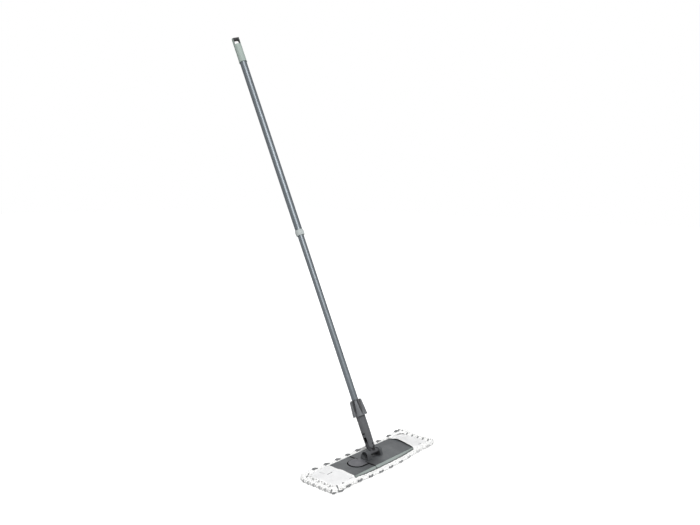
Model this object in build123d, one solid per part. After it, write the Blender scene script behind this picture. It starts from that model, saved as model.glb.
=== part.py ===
from build123d import *
import os
from math import atan2, cos, degrees, dist, radians, sin

# A flat mop on a telescopic handle. The pad lies on the floor with its centre at the origin, X runs
# along the pad, and the handle leans back towards +Y. Sizes are in millimetres and degrees.

# Pose
LEAN = 26.1
AXLE_HEIGHT = 27.6

# Clearances
RUN = 0.06
PRESS = 0.02
SLIP = 0.1
LOOSE = 0.3
SOFT = 0.2

# Handle: stations are measured along its own axis from the axle of the joint
HANDLE_TOP = 1352.0
LOWER_TUBE_OD = 19.0
LOWER_TUBE_WALL = 0.7
TUBE_GAP = 0.7
UPPER_TUBE_WALL = 0.8
TUBE_OVERLAP = 92.0

# End cap with its hanging slot and the dark bridge that closes it
CAP_LENGTH = 88.0
CAP_WALL = 1.25
CAP_LIP_PROUD = 0.5
CAP_LIP_LENGTH = 5.0
CAP_TOP_ROUND = 2.5
CAP_SOLID = 6.0
EYE_WIDTH = 19.0
EYE_HEIGHT = 25.5
EYE_TURN = 33.0
BRIDGE_DEPTH = 13.0
BRIDGE_BAR = 7.0
BRIDGE_LEG = 1.6
BRIDGE_ROUND = 4.0

# Collar between the tubes
COLLAR_CENTRE = 676.7
COLLAR_LENGTH = 17.6
COLLAR_LIP = 4.0
COLLAR_WALL = 1.3
COLLAR_BULGE = 1.0
GUIDE_LENGTH = 30.0

# Twist lock inside the upper tube
PLUG_DEPTH = 25.0
PLUG_FLANGE = 3.0
STUD_R = 4.0
STUD_LENGTH = 38.0
SLEEVE_LENGTH = 24.0
SLEEVE_FLOOR = 5.0
SLEEVE_RIM = 1.9
SLEEVE_SLIT = 1.6
CONE_LENGTH = 14.0

# Neck and its hand nut
NECK_WALL = 3.9
NECK_TAPER = 0.9
SOCKET_FLOOR = 60.0
SOCKET_DEPTH = 77.0
FINGER_LENGTH = 20.0
FINGER_SLIT = 1.6
FINGER_TAPER = 1.4
THREAD_STEP = 0.5
NUT_FOOT = 107.2
NUT_LENGTH = 46.7
NUT_FOOT_R = 22.0
NUT_TOP_R = 18.4
NUT_ROUND = 3.0
NUT_SKIRT = 7.0
NUT_SKIRT_WALL = 2.6
NUT_LOBES = 6
NUT_TURN = 41.0
FLUTE_R = 7.0
FLUTE_FLOOR_TOP = 12.8
FLUTE_FLOOR_FOOT = 20.6

# Two-axis joint
HUB_R = 6.5
FORK_GAP = 4.5
FORK_SLOT_TOP = 11.0
FORK_END = 10.0
FORK_SWELL_FROM = 14.0
FORK_SWELL_TO = 32.0
NECK_POCKET_LENGTH = 10.5
NECK_POCKET_FLOOR = 4.0
NECK_NOTCH_FOOT = 19.5
NECK_NOTCH_LENGTH = 3.5
NECK_NOTCH_FLOOR = 10.6
TONGUE_WIDTH = 20.0
TONGUE_THICKNESS = 10.0
CROSS_PIN_R = 3.0
AXLE_R = 3.0
EAR_GAP = 42.0
EAR_WALL = 11.5
EAR_R = 9.6
EAR_FOOT = 14.0
EAR_DISH_R = 6.0
EAR_DISH_DEPTH = 2.0
BOSS_LENGTH = 15.0
BOSS_R = 12.2
BOSS_FOOT = 15.0
BOSS_HOLLOW_R = 10.0
BOSS_HOLLOW_DEPTH = 9.0
EAR_ROUND = 1.2

# Plates of the head, and the soft strips that swell out along their long sides
PLATE_LENGTH = 412.0
PLATE_WIDTH = 94.5
PLATE_FOOT = 6.0
PLATE_HEIGHT = 10.0
STRIP_SWELL = 7.5
STRIP_EDGE = 3.5
STRIP_SHORT = 66.0
STRIP_TIP = 6.0
STRIP_LIP = 0.5
PLATE_CORNER = 14.0
PLATE_WALL = 2.4
PLATE_SLOPE_RUN = 70.0
PLATE_SLOPE_DROP = 5.0
RIB = 1.8
RIB_PITCH = 40.0
RIB_LINE = 24.0
OVERCUT = 30.0

# Fold between the plates
HINGE_X = -46.2
SPLIT = 3.0
KNUCKLE_R = 3.4
KNUCKLE_FIRST = 29.0
KNUCKLE_LENGTHS = (3.5, 5.0, 3.5)
KNUCKLE_WEB = 4.0
HINGE_PIN_R = 1.5
HINGE_ROOM = 4.2

# Foot pedal with its pin, spring and latch nose; the pedal is round at its free end
PEDAL_R = 23.2
PEDAL_REACH = 48.0
PEDAL_RISE = 2.4
PEDAL_THICKNESS = 4.0
PEDAL_ROUND = 1.2
PEDAL_DISH_R = 18.0
PEDAL_DISH = 1.2
PEDAL_PIVOT_IN = 10.0
PEDAL_PIVOT_DROP = 3.4
PEDAL_PIN_R = 1.6
PEDAL_LUG_R = 2.4
PEDAL_LUG_WALL = 3.6
PEDAL_BOSS_IN = 10.0
WELL_GAP = 3.0
WELL_DEPTH = 6.6
WELL_LEDGE = 2.2
SPRING_IN = 12.0
SPRING_R = 4.5
SPRING_WIRE_R = 0.4
SPRING_TURNS = 3
PEG_LENGTH = 1.6
CUP_WALL = 1.8
CUP_FLOOR = 2.2
NOSE_HALF = 7.0
NOSE_WALL = 2.4
NOSE_FROM = 42.0
NOSE_TO = 80.0
NOSE_ROOM = 0.4
NOSE_SIDE_ROOM = 0.6
NOSE_SWING_ROOM = 2.2
TONGUE_HALF = 13.0
TONGUE_REACH = 4.4

# Pad: borders of pile round a tray that holds the plates
TRAY_END_ROOM = 8.0
TRAY_SIDE_ROOM = 1.5
TRAY_CORNER = 14.0
TRAY_ROUND = 4.0
PILE_END_BORDER = 22.0
PILE_SIDE_BORDER = 10.0
PAD_CORNER = 14.0
PILE_HEIGHT = 15.0
PILE_TOP_ROUND = 4.5
PILE_FOOT_ROUND = 4.0
PILE_FLOOR = 4.3
BASE_CLOTH = 1.5
POCKET_CLOTH = 1.2
POCKET_DEPTH = 69.0
POCKET_EASE = 0.4
POCKET_SEAM = 6.5

# Derived stations and radii
LOWER_R = LOWER_TUBE_OD / 2
LOWER_BORE = LOWER_R - LOWER_TUBE_WALL
UPPER_BORE = LOWER_R + TUBE_GAP
UPPER_R = UPPER_BORE + UPPER_TUBE_WALL
CAP_R = UPPER_R + CAP_WALL
CAP_FOOT = HANDLE_TOP - CAP_LENGTH
EYE_FLOOR = HANDLE_TOP - EYE_HEIGHT
UPPER_TOP = EYE_FLOOR - CAP_SOLID
COLLAR_FOOT = COLLAR_CENTRE - COLLAR_LENGTH / 2
COLLAR_TOP = COLLAR_FOOT + COLLAR_LENGTH
UPPER_FOOT = COLLAR_FOOT + COLLAR_LIP
LOWER_TOP = UPPER_FOOT + TUBE_OVERLAP
FLANGE_TOP = LOWER_TOP + PLUG_FLANGE
SLEEVE_FOOT = FLANGE_TOP + LOOSE
SLEEVE_TOP = SLEEVE_FOOT + SLEEVE_LENGTH
NECK_R = LOWER_R + SLIP + NECK_WALL
FORK_R = NECK_R - NECK_TAPER
THREAD_R = NECK_R - THREAD_STEP
SOCKET_TOP = SOCKET_FLOOR + SOCKET_DEPTH
FINGER_FOOT = SOCKET_TOP - FINGER_LENGTH
FINGER_SLOPE = SOCKET_TOP - FINGER_LENGTH / 2
NUT_TOP = NUT_FOOT + NUT_LENGTH
CROSS_PIN = HUB_R + FORK_GAP + FORK_R
SLOT_HALF = TONGUE_THICKNESS / 2 + LOOSE
EAR_IN = EAR_GAP / 2
EAR_OUT = EAR_IN + EAR_WALL
BOSS_OUT = EAR_IN + BOSS_LENGTH
PLATE_TOP = PLATE_FOOT + PLATE_HEIGHT
PLATE_SKIN = PLATE_TOP - PLATE_WALL
PLATE_END = PLATE_LENGTH / 2
PLATE_HALF = PLATE_WIDTH / 2
PLATE_SIDE = PLATE_HALF + STRIP_SWELL
STRIP_END = PLATE_END - STRIP_SHORT
SLOPE_FROM = PLATE_END - PLATE_SLOPE_RUN
HINGE_Z = PLATE_FOOT + KNUCKLE_R + SOFT
PEDAL_TOP = PLATE_TOP + PEDAL_RISE
PEDAL_FOOT = PEDAL_TOP - PEDAL_THICKNESS
PEDAL_END = HINGE_X - PEDAL_REACH
PEDAL_X = PEDAL_END + PEDAL_R
PEDAL_SIDE = HINGE_X - SPLIT
PEDAL_PIVOT_X = HINGE_X - PEDAL_PIVOT_IN
PEDAL_PIVOT_Z = PLATE_TOP - PEDAL_PIVOT_DROP
WELL_R = PEDAL_R + WELL_GAP
WELL_FLOOR = PLATE_TOP - WELL_DEPTH
SPRING_X = PEDAL_END + SPRING_IN
NOSE_IN_R = PLATE_TOP - HINGE_Z + SOFT
NOSE_OUT_R = NOSE_IN_R + NOSE_WALL
TRAY_LENGTH = PLATE_LENGTH + 2 * TRAY_END_ROOM
TRAY_WIDTH = 2 * (PLATE_SIDE + TRAY_SIDE_ROOM)
PAD_LENGTH = TRAY_LENGTH + 2 * PILE_END_BORDER
PAD_WIDTH = TRAY_WIDTH + 2 * PILE_SIDE_BORDER
POCKET_MOUTH = PLATE_END - POCKET_DEPTH

HANDLE = Location((0, 0, AXLE_HEIGHT), (-LEAN, 0, 0))


def block(x, y, z):
    """Box between two values on each axis."""
    middle = Pos((x[0] + x[1]) / 2, (y[0] + y[1]) / 2, (z[0] + z[1]) / 2)
    return middle * Box(x[1] - x[0], y[1] - y[0], z[1] - z[0])


def rod(radius, foot, top):
    """Upright cylinder between two heights."""
    return Pos(0, 0, (foot + top) / 2) * Cylinder(radius, top - foot)


def rod_x(radius, x, y=0.0, z=0.0):
    """Cylinder along X between two values of x."""
    return Pos((x[0] + x[1]) / 2, y, z) * Rot(0, 90, 0) * Cylinder(radius, x[1] - x[0])


def rod_y(radius, y, x=0.0, z=0.0):
    """Cylinder along Y between two values of y."""
    return Pos(x, (y[0] + y[1]) / 2, z) * Rot(90, 0, 0) * Cylinder(radius, y[1] - y[0])


def turned(*points):
    """Solid of revolution about Z from a closed outline of (radius, height) points."""
    return revolve(Plane.XZ * make_face(Polyline(*points, close=True)), Axis.Z)


def across(points, half_width):
    """Outline of (x, z) points carried along Y, the same way to both sides."""
    return extrude(Plane.XZ * make_face(Polyline(*points, close=True)), half_width, both=True)


# Handle, upper part


def upper_tube():
    return rod(UPPER_R, UPPER_FOOT, UPPER_TOP) - rod(UPPER_BORE, UPPER_FOOT, UPPER_TOP)


def end_cap():
    lip_r = CAP_R + CAP_LIP_PROUD
    lip_top = CAP_FOOT + CAP_LIP_LENGTH
    shell = turned(
        (0, CAP_FOOT),
        (lip_r, CAP_FOOT),
        (lip_r, lip_top),
        (CAP_R, lip_top + CAP_LIP_PROUD),
        (CAP_R, HANDLE_TOP),
        (0, HANDLE_TOP),
    )
    shell = fillet(shell.edges().group_by(Axis.Z)[-1], CAP_TOP_ROUND)
    shell -= rod(UPPER_R + PRESS, CAP_FOOT, UPPER_TOP)
    half = EYE_WIDTH / 2
    slot = block((-half, half), (-2 * CAP_R, 2 * CAP_R), (EYE_FLOOR, HANDLE_TOP + CAP_R))
    return Rot(0, 0, -EYE_TURN) * (shell - slot)


def hanger_insert():
    half = EYE_WIDTH / 2 - PRESS
    depth = BRIDGE_DEPTH / 2
    bar = block((-half, half), (-depth, depth), (EYE_FLOOR + PRESS, HANDLE_TOP - PRESS))
    clear = half - BRIDGE_LEG
    eye_top = HANDLE_TOP - BRIDGE_BAR
    eye = block((-clear, clear), (-CAP_R, CAP_R), (EYE_FLOOR - 1, eye_top))
    eye = fillet(eye.edges().filter_by(Axis.Y).group_by(Axis.Z)[-1], BRIDGE_ROUND)
    bar = fillet(bar.edges().filter_by(Axis.X).group_by(Axis.Z)[-1], CAP_TOP_ROUND)
    return Rot(0, 0, -EYE_TURN) * (bar - eye)


def tube_collar():
    end_r = UPPER_R + COLLAR_WALL
    outline = [
        Line((0, COLLAR_FOOT), (end_r, COLLAR_FOOT)),
        ThreePointArc(
            (end_r, COLLAR_FOOT), (end_r + COLLAR_BULGE, COLLAR_CENTRE), (end_r, COLLAR_TOP)
        ),
        Line((end_r, COLLAR_TOP), (0, COLLAR_TOP)),
        Line((0, COLLAR_TOP), (0, COLLAR_FOOT)),
    ]
    barrel = revolve(Plane.XZ * make_face(outline), Axis.Z)
    barrel -= rod(UPPER_R + PRESS, UPPER_FOOT, COLLAR_TOP)
    guide = rod(UPPER_BORE - PRESS, UPPER_FOOT, UPPER_FOOT + GUIDE_LENGTH)
    return barrel + guide - rod(LOWER_R + SLIP, COLLAR_FOOT, UPPER_FOOT + GUIDE_LENGTH)


# Twist lock


def lock_plug():
    shank = rod(LOWER_BORE - PRESS, LOWER_TOP - PLUG_DEPTH, LOWER_TOP)
    flange = rod(LOWER_R, LOWER_TOP, FLANGE_TOP)
    return shank + flange + rod(STUD_R, FLANGE_TOP, FLANGE_TOP + STUD_LENGTH)


SLEEVE_R = UPPER_BORE - SLIP
SLEEVE_BORE = STUD_R + LOOSE
SLEEVE_MOUTH = SLEEVE_R - SLEEVE_RIM


def sleeve_bore_at(height):
    """Radius of the sleeve's tapered bore at a height above its foot."""
    share = (height - SLEEVE_FLOOR) / (SLEEVE_LENGTH - SLEEVE_FLOOR)
    return SLEEVE_BORE + share * (SLEEVE_MOUTH - SLEEVE_BORE)


def lock_sleeve():
    sleeve = turned(
        (SLEEVE_BORE, SLEEVE_FOOT),
        (SLEEVE_R, SLEEVE_FOOT),
        (SLEEVE_R, SLEEVE_TOP),
        (SLEEVE_MOUTH, SLEEVE_TOP),
        (SLEEVE_BORE, SLEEVE_FOOT + SLEEVE_FLOOR),
    )
    half = SLEEVE_SLIT / 2
    return sleeve - block((0, 2 * SLEEVE_R), (-half, half), (SLEEVE_FOOT, SLEEVE_TOP))


def lock_cone():
    low = SLEEVE_LENGTH - CONE_LENGTH
    foot = SLEEVE_FOOT + low
    bore = STUD_R + SLIP
    cone = turned(
        (bore, foot),
        (sleeve_bore_at(low) - LOOSE, foot),
        (sleeve_bore_at(SLEEVE_LENGTH) - LOOSE, SLEEVE_TOP),
        (bore, SLEEVE_TOP),
    )
    half = SLEEVE_SLIT / 2 - LOOSE
    key = block((bore + RUN, SLEEVE_R - SLEEVE_RIM / 2), (-half, half), (foot, SLEEVE_TOP))
    return cone + key


# Handle, lower part


def lower_tube():
    foot = SOCKET_FLOOR + SOFT
    return rod(LOWER_R, foot, LOWER_TOP) - rod(LOWER_BORE, foot, LOWER_TOP)


def neck():
    body = turned(
        (0, 0),
        (FORK_R, 0),
        (FORK_R, CROSS_PIN),
        (NECK_R, SOCKET_FLOOR),
        (NECK_R, NUT_FOOT),
        (THREAD_R, NUT_FOOT + THREAD_STEP),
        (THREAD_R, FINGER_SLOPE),
        (THREAD_R - FINGER_TAPER, SOCKET_TOP),
        (0, SOCKET_TOP),
    )
    body -= rod(LOWER_R + SLIP, SOCKET_FLOOR, SOCKET_TOP)
    half = FINGER_SLIT / 2
    slit = block((-NECK_R, NECK_R), (-half, half), (FINGER_FOOT, SOCKET_TOP))
    body -= slit + Rot(0, 0, 90) * slit
    # the two tines end in a half round about the cross pin
    tines = rod_y(FORK_R, (-NECK_R, NECK_R), z=CROSS_PIN)
    tines += block((-NECK_R, NECK_R), (-NECK_R, NECK_R), (CROSS_PIN, SOCKET_TOP))
    body &= tines
    # the fork is flattened front and back at its end, so that the handle can lie down over the plate
    flat = make_face(
        Polyline(
            (-FORK_END, 0),
            (FORK_END, 0),
            (FORK_END, FORK_SWELL_FROM),
            (NECK_R, FORK_SWELL_TO),
            (NECK_R, SOCKET_TOP),
            (-NECK_R, SOCKET_TOP),
            (-NECK_R, FORK_SWELL_TO),
            (-FORK_END, FORK_SWELL_FROM),
            close=True,
        )
    )
    body &= extrude(Plane.YZ * flat, 2 * NECK_R, both=True)
    slot_top = CROSS_PIN + FORK_SLOT_TOP
    body -= block((-NECK_R, NECK_R), (-SLOT_HALF, SLOT_HALF), (0, slot_top))
    # blind pockets above the slot on both sides, and a shallow notch above each
    y = (-SLOT_HALF, SLOT_HALF)
    pocket = block((NECK_POCKET_FLOOR, NECK_R), y, (slot_top, slot_top + NECK_POCKET_LENGTH))
    notch_foot = slot_top + NECK_NOTCH_FOOT
    pocket += block((NECK_NOTCH_FLOOR, NECK_R), y, (notch_foot, notch_foot + NECK_NOTCH_LENGTH))
    body -= pocket + mirror(pocket, Plane.YZ)
    return body - rod_y(CROSS_PIN_R + PRESS, (-NECK_R, NECK_R), z=CROSS_PIN)


def clamp_nut():
    nut = turned(
        (0, NUT_FOOT),
        (NUT_FOOT_R, NUT_FOOT),
        (NUT_TOP_R + NUT_ROUND * (NUT_FOOT_R - NUT_TOP_R) / NUT_LENGTH, NUT_TOP - NUT_ROUND),
        (NUT_TOP_R - NUT_ROUND, NUT_TOP),
        (0, NUT_TOP),
    )
    # flutes lean out faster than the nut flares, so they run out above its foot
    top_r = FLUTE_FLOOR_TOP + FLUTE_R
    foot_r = FLUTE_FLOOR_FOOT + FLUTE_R
    tilt = degrees(atan2(foot_r - top_r, NUT_LENGTH))
    flute = Pos((top_r + foot_r) / 2, 0, (NUT_FOOT + NUT_TOP) / 2) * Rot(0, -tilt, 0)
    flute *= Cylinder(FLUTE_R, 2 * NUT_LENGTH)
    step = 360 / NUT_LOBES
    for lobe in range(NUT_LOBES):
        nut -= Rot(0, 0, NUT_TURN + (lobe + 0.5) * step) * flute
    room = LOOSE
    cavity = turned(
        (0, NUT_FOOT),
        (NUT_FOOT_R - NUT_SKIRT_WALL, NUT_FOOT),
        (THREAD_R + room, NUT_FOOT + NUT_SKIRT),
        (THREAD_R + room, FINGER_SLOPE + room),
        (THREAD_R - FINGER_TAPER + room, SOCKET_TOP + room),
        (LOWER_R + room, SOCKET_TOP + FINGER_TAPER + room),
        (LOWER_R + room, NUT_TOP),
        (0, NUT_TOP),
    )
    return nut - cavity


# Two-axis joint


def cross_pin():
    end = FORK_END
    return rod_y(CROSS_PIN_R, (-end, end), z=CROSS_PIN)


def joint_hub():
    end = EAR_IN - LOOSE
    half = TONGUE_WIDTH / 2
    hub = rod_x(HUB_R, (-end, end))
    thick = (-TONGUE_THICKNESS / 2, TONGUE_THICKNESS / 2)
    hub += block((-half, half), thick, (0, CROSS_PIN)) + rod_y(half, thick, z=CROSS_PIN)
    hub -= rod_x(AXLE_R + RUN, (-end, end))
    return hub - rod_y(CROSS_PIN_R + RUN, thick, z=CROSS_PIN)


def axle_pin():
    ends = (BOSS_HOLLOW_DEPTH - BOSS_OUT, EAR_OUT - EAR_DISH_DEPTH)
    return rod_x(AXLE_R, ends, z=AXLE_HEIGHT)


# Plates


def plate_block(inset, top):
    """The plate as one piece, or the hollow under its skin when inset by the wall."""
    length = 2 * (PLATE_END - inset)
    outline = RectangleRounded(length, 2 * (PLATE_HALF - inset), PLATE_CORNER - inset)
    shape = extrude(Pos(0, 0, PLATE_FOOT) * outline, top - PLATE_FOOT)
    drop = top - PLATE_SLOPE_DROP * (PLATE_SLOPE_RUN + OVERCUT) / PLATE_SLOPE_RUN
    fall = across(
        [
            (SLOPE_FROM, top),
            (PLATE_END + OVERCUT, drop),
            (PLATE_END + OVERCUT, top + OVERCUT),
            (SLOPE_FROM, top + OVERCUT),
        ],
        PLATE_SIDE + OVERCUT,
    )
    return shape - fall - mirror(fall, Plane.YZ)


def pedal_outline(radius, to_x):
    """Outline of the pedal from above: a round end, then straight sides as far as to_x."""
    sides = [Line((PEDAL_X, way * radius), (to_x, way * radius)) for way in (1, -1)]
    round_end = ThreePointArc((PEDAL_X, radius), (PEDAL_X - radius, 0), (PEDAL_X, -radius))
    return make_face([round_end, *sides, Line((to_x, radius), (to_x, -radius))])


def ribbed_plate():
    """The whole plate before the fold is cut, ribbed underneath."""
    side = PLATE_SIDE
    tall = (PLATE_FOOT, PLATE_TOP)
    hollow = plate_block(PLATE_WALL, PLATE_SKIN)
    half = RIB / 2
    for line in (-RIB_LINE, 0, RIB_LINE):
        hollow -= block((-PLATE_END, HINGE_X - HINGE_ROOM), (line - half, line + half), tall)
        hollow -= block((HINGE_X + HINGE_ROOM, PLATE_END), (line - half, line + half), tall)
    # end walls each side of the fold, then ribs at an even pitch away from it
    for way in (-1, 1):
        wall = sorted((HINGE_X + way * HINGE_ROOM, HINGE_X + way * (HINGE_ROOM + PLATE_WALL)))
        hollow -= block(wall, (-side, side), tall)
        station = HINGE_X + way * RIB_PITCH
        while abs(station) < PLATE_END:
            hollow -= block((station - half, station + half), (-side, side), tall)
            station += way * RIB_PITCH
    # solid tub under the pedal's well, and the cup of its spring
    tub_foot = WELL_FLOOR - WELL_LEDGE
    tub = Pos(0, 0, tub_foot) * pedal_outline(WELL_R + PLATE_WALL, HINGE_X)
    hollow -= extrude(tub, PLATE_TOP - tub_foot)
    cup_r = SPRING_R + 2 * SPRING_WIRE_R + CUP_WALL
    hollow -= Pos(SPRING_X, 0, 0) * rod(cup_r, PLATE_FOOT, PLATE_TOP)
    return plate_block(0, PLATE_TOP) - hollow


def knuckles(own):
    """Hinge knuckles and their webs on one plate: own is 0 for the outer set, 1 for the middle one."""
    way = 1 if own else -1
    shape = None
    start = KNUCKLE_FIRST
    for index, length in enumerate(KNUCKLE_LENGTHS):
        if index % 2 == own:
            y = (start, start + length)
            web = sorted((HINGE_X, HINGE_X + way * (HINGE_ROOM + SOFT)))
            piece = rod_y(KNUCKLE_R, y, HINGE_X, HINGE_Z)
            piece += block(web, y, (HINGE_Z - KNUCKLE_WEB / 2, HINGE_Z + KNUCKLE_WEB / 2))
            shape = piece if shape is None else shape + piece
        start += length + LOOSE
    bore = HINGE_PIN_R + (RUN if own else PRESS)
    shape -= rod_y(bore, (KNUCKLE_FIRST, start), HINGE_X, HINGE_Z)
    return shape + mirror(shape, Plane.XZ)


def hinge_pins():
    end = KNUCKLE_FIRST + sum(KNUCKLE_LENGTHS) + LOOSE * (len(KNUCKLE_LENGTHS) - 1)
    pin = rod_y(HINGE_PIN_R, (KNUCKLE_FIRST, end), HINGE_X, HINGE_Z)
    return Compound(children=[pin.solid(), mirror(pin, Plane.XZ).solid()])


def ear(x, radius, foot_half):
    """Upright ear that carries the axle, tapering up to a round end."""
    foot = PLATE_TOP - PLATE_WALL / 2
    eye = Pos(0, AXLE_HEIGHT) * Circle(radius)
    sill = Line((-foot_half, foot), (foot_half, foot))
    face = make_hull(eye.edges() + [sill])
    shape = Pos(x[0], 0, 0) * extrude(Plane.YZ * face, x[1] - x[0])
    outer = shape.faces().sort_by(Axis.X)[0 if x[0] < 0 else -1]
    rim = outer.edges().filter_by(lambda edge: edge.center().Z > foot + EAR_ROUND)
    return fillet(rim, EAR_ROUND)


def strip_face(swell, height):
    """Flat face between the plate's long side and a bowed line beside it."""
    line = PLATE_HALF + PRESS
    ends = ((-STRIP_END, line), (STRIP_END, line))
    bow = ThreePointArc(ends[0], (0, line + swell), ends[1])
    return Pos(0, 0, height) * make_face([bow, Line(ends[1], ends[0])])


def edge_strips(x):
    """Soft strip on each long side between two values of x: an upright foot, then a slope up to the top."""
    edge = PLATE_FOOT + STRIP_EDGE
    strip = extrude(strip_face(STRIP_SWELL, PLATE_FOOT), STRIP_EDGE)
    strip += loft([strip_face(STRIP_SWELL, edge), strip_face(STRIP_LIP, PLATE_TOP)], ruled=True)
    strip &= block(x, (0, 2 * PLATE_SIDE), (0, PLATE_TOP + OVERCUT))
    room = (HINGE_X, HINGE_X + HINGE_ROOM)
    strip -= block(room, (0, 2 * PLATE_SIDE), (0, HINGE_Z + LOOSE))
    return Compound(children=[strip.solid(), mirror(strip, Plane.XZ).solid()])


def main_edge_strips():
    return edge_strips((HINGE_X + SPLIT / 2, STRIP_END - STRIP_TIP))


def flap_edge_strips():
    return edge_strips((STRIP_TIP - STRIP_END, HINGE_X - SPLIT / 2))


def main_plate():
    side = PLATE_SIDE + OVERCUT
    reach = (HINGE_X + SPLIT / 2, PLATE_END + OVERCUT)
    plate = ribbed_plate() & block(reach, (-side, side), (0, PLATE_TOP + OVERCUT))
    room = (HINGE_X, HINGE_X + HINGE_ROOM)
    plate -= block(room, (-side, side), (0, HINGE_Z + LOOSE))
    plate += knuckles(1)
    plate += ear((EAR_IN, EAR_OUT), EAR_R, EAR_FOOT)
    plate += ear((-BOSS_OUT, -EAR_IN), BOSS_R, BOSS_FOOT)
    plate -= rod_x(EAR_DISH_R, (EAR_OUT - EAR_DISH_DEPTH, EAR_OUT), z=AXLE_HEIGHT)
    plate -= rod_x(BOSS_HOLLOW_R, (-BOSS_OUT, BOSS_HOLLOW_DEPTH - BOSS_OUT), z=AXLE_HEIGHT)
    # slot at the fold for the latch nose
    slot_half = NOSE_HALF + NOSE_SIDE_ROOM
    slot = rod_y(NOSE_OUT_R + NOSE_SWING_ROOM, (-slot_half, slot_half), HINGE_X, HINGE_Z)
    slot -= rod_y(NOSE_IN_R - NOSE_ROOM, (-slot_half, slot_half), HINGE_X, HINGE_Z)
    slot_foot = HINGE_Z + NOSE_IN_R * sin(radians(NOSE_FROM)) - NOSE_SIDE_ROOM
    slot &= block((HINGE_X, -BOSS_OUT), (-slot_half, slot_half), (slot_foot, PLATE_TOP))
    plate -= slot
    return plate - rod_x(AXLE_R + PRESS, (-BOSS_OUT, EAR_OUT), z=AXLE_HEIGHT)


def left_flap():
    side = PLATE_SIDE + OVERCUT
    reach = (-PLATE_END - OVERCUT, HINGE_X - SPLIT / 2)
    flap = ribbed_plate() & block(reach, (-side, side), (0, PLATE_TOP + OVERCUT))
    flap += knuckles(0)
    # the well is deep under the pedal and shallow over the ledge at the fold
    well = Pos(0, 0, WELL_FLOOR) * pedal_outline(WELL_R, PEDAL_SIDE - WELL_LEDGE)
    flap -= extrude(well, WELL_DEPTH)
    ledge_top = PEDAL_FOOT - LOOSE
    ledge = Pos(0, 0, ledge_top) * pedal_outline(WELL_R, HINGE_X)
    flap -= extrude(ledge, PLATE_TOP - ledge_top)
    cup = Pos(SPRING_X, 0, 0) * rod(SPRING_R + 2 * SPRING_WIRE_R, PLATE_FOOT + CUP_FLOOR, PLATE_TOP)
    flap -= cup
    y = (PEDAL_BOSS_IN, PEDAL_BOSS_IN + PEDAL_LUG_WALL)
    boss = rod_y(PEDAL_LUG_R, y, PEDAL_PIVOT_X, PEDAL_PIVOT_Z)
    x = (PEDAL_PIVOT_X - PEDAL_LUG_R, PEDAL_PIVOT_X + PEDAL_LUG_R)
    boss += block(x, y, (WELL_FLOOR - 1, PEDAL_PIVOT_Z))
    boss &= block(x, y, (0, PEDAL_FOOT - LOOSE))
    flap += boss + mirror(boss, Plane.XZ)
    return flap - rod_y(PEDAL_PIN_R + PRESS, (-EAR_FOOT, EAR_FOOT), PEDAL_PIVOT_X, PEDAL_PIVOT_Z)


# Pedal


PEDAL_LUG_IN = PEDAL_BOSS_IN + PEDAL_LUG_WALL + LOOSE
PEDAL_LUG_OUT = PEDAL_LUG_IN + PEDAL_LUG_WALL


def pedal():
    disc = extrude(Pos(0, 0, PEDAL_FOOT) * pedal_outline(PEDAL_R, PEDAL_SIDE), PEDAL_THICKNESS)
    disc = fillet(disc.edges().group_by(Axis.Z)[-1], PEDAL_ROUND)
    ball_r = (PEDAL_DISH_R**2 + PEDAL_DISH**2) / (2 * PEDAL_DISH)
    disc -= Pos(PEDAL_X, 0, PEDAL_TOP - PEDAL_DISH + ball_r) * Sphere(ball_r)
    # latch nose, curved about the fold's axis, on a flat tongue that reaches over the fold
    y = (-NOSE_HALF, NOSE_HALF)
    nose = rod_y(NOSE_OUT_R, y, HINGE_X, HINGE_Z) - rod_y(NOSE_IN_R, y, HINGE_X, HINGE_Z)
    far = 2 * NOSE_OUT_R
    wedge = [(HINGE_X, HINGE_Z)]
    wedge += [
        (HINGE_X + far * cos(radians(angle)), HINGE_Z + far * sin(radians(angle)))
        for angle in (NOSE_FROM, NOSE_TO)
    ]
    nose &= across(wedge, NOSE_HALF)
    tongue_x = (PEDAL_SIDE - 2 * PEDAL_ROUND, HINGE_X + TONGUE_REACH)
    tongue_y = (-TONGUE_HALF, TONGUE_HALF)
    tongue = block(tongue_x, tongue_y, (PLATE_TOP + LOOSE, PEDAL_TOP))
    corners = tongue.edges().filter_by(Axis.Z).group_by(Axis.X)[-1]
    tongue = fillet(corners, PEDAL_ROUND)
    # lugs on the pin, and the peg that keeps the spring in place
    lug_y = (PEDAL_LUG_IN, PEDAL_LUG_OUT)
    lug = rod_y(PEDAL_LUG_R, lug_y, PEDAL_PIVOT_X, PEDAL_PIVOT_Z)
    lug_x = (PEDAL_PIVOT_X - PEDAL_LUG_R, PEDAL_PIVOT_X + PEDAL_LUG_R)
    lug += block(lug_x, lug_y, (PEDAL_PIVOT_Z, PEDAL_FOOT + PEDAL_ROUND))
    peg_foot = PEDAL_FOOT - PEG_LENGTH
    peg = Pos(SPRING_X, 0, 0) * rod(SPRING_R - 3 * SPRING_WIRE_R, peg_foot, PEDAL_FOOT + 1)
    shape = disc + nose + tongue + lug + mirror(lug, Plane.XZ) + peg
    bore_y = (-PEDAL_LUG_OUT, PEDAL_LUG_OUT)
    return shape - rod_y(PEDAL_PIN_R + RUN, bore_y, PEDAL_PIVOT_X, PEDAL_PIVOT_Z)


def pedal_pin():
    return rod_y(PEDAL_PIN_R, (-PEDAL_LUG_OUT, PEDAL_LUG_OUT), PEDAL_PIVOT_X, PEDAL_PIVOT_Z)


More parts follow.
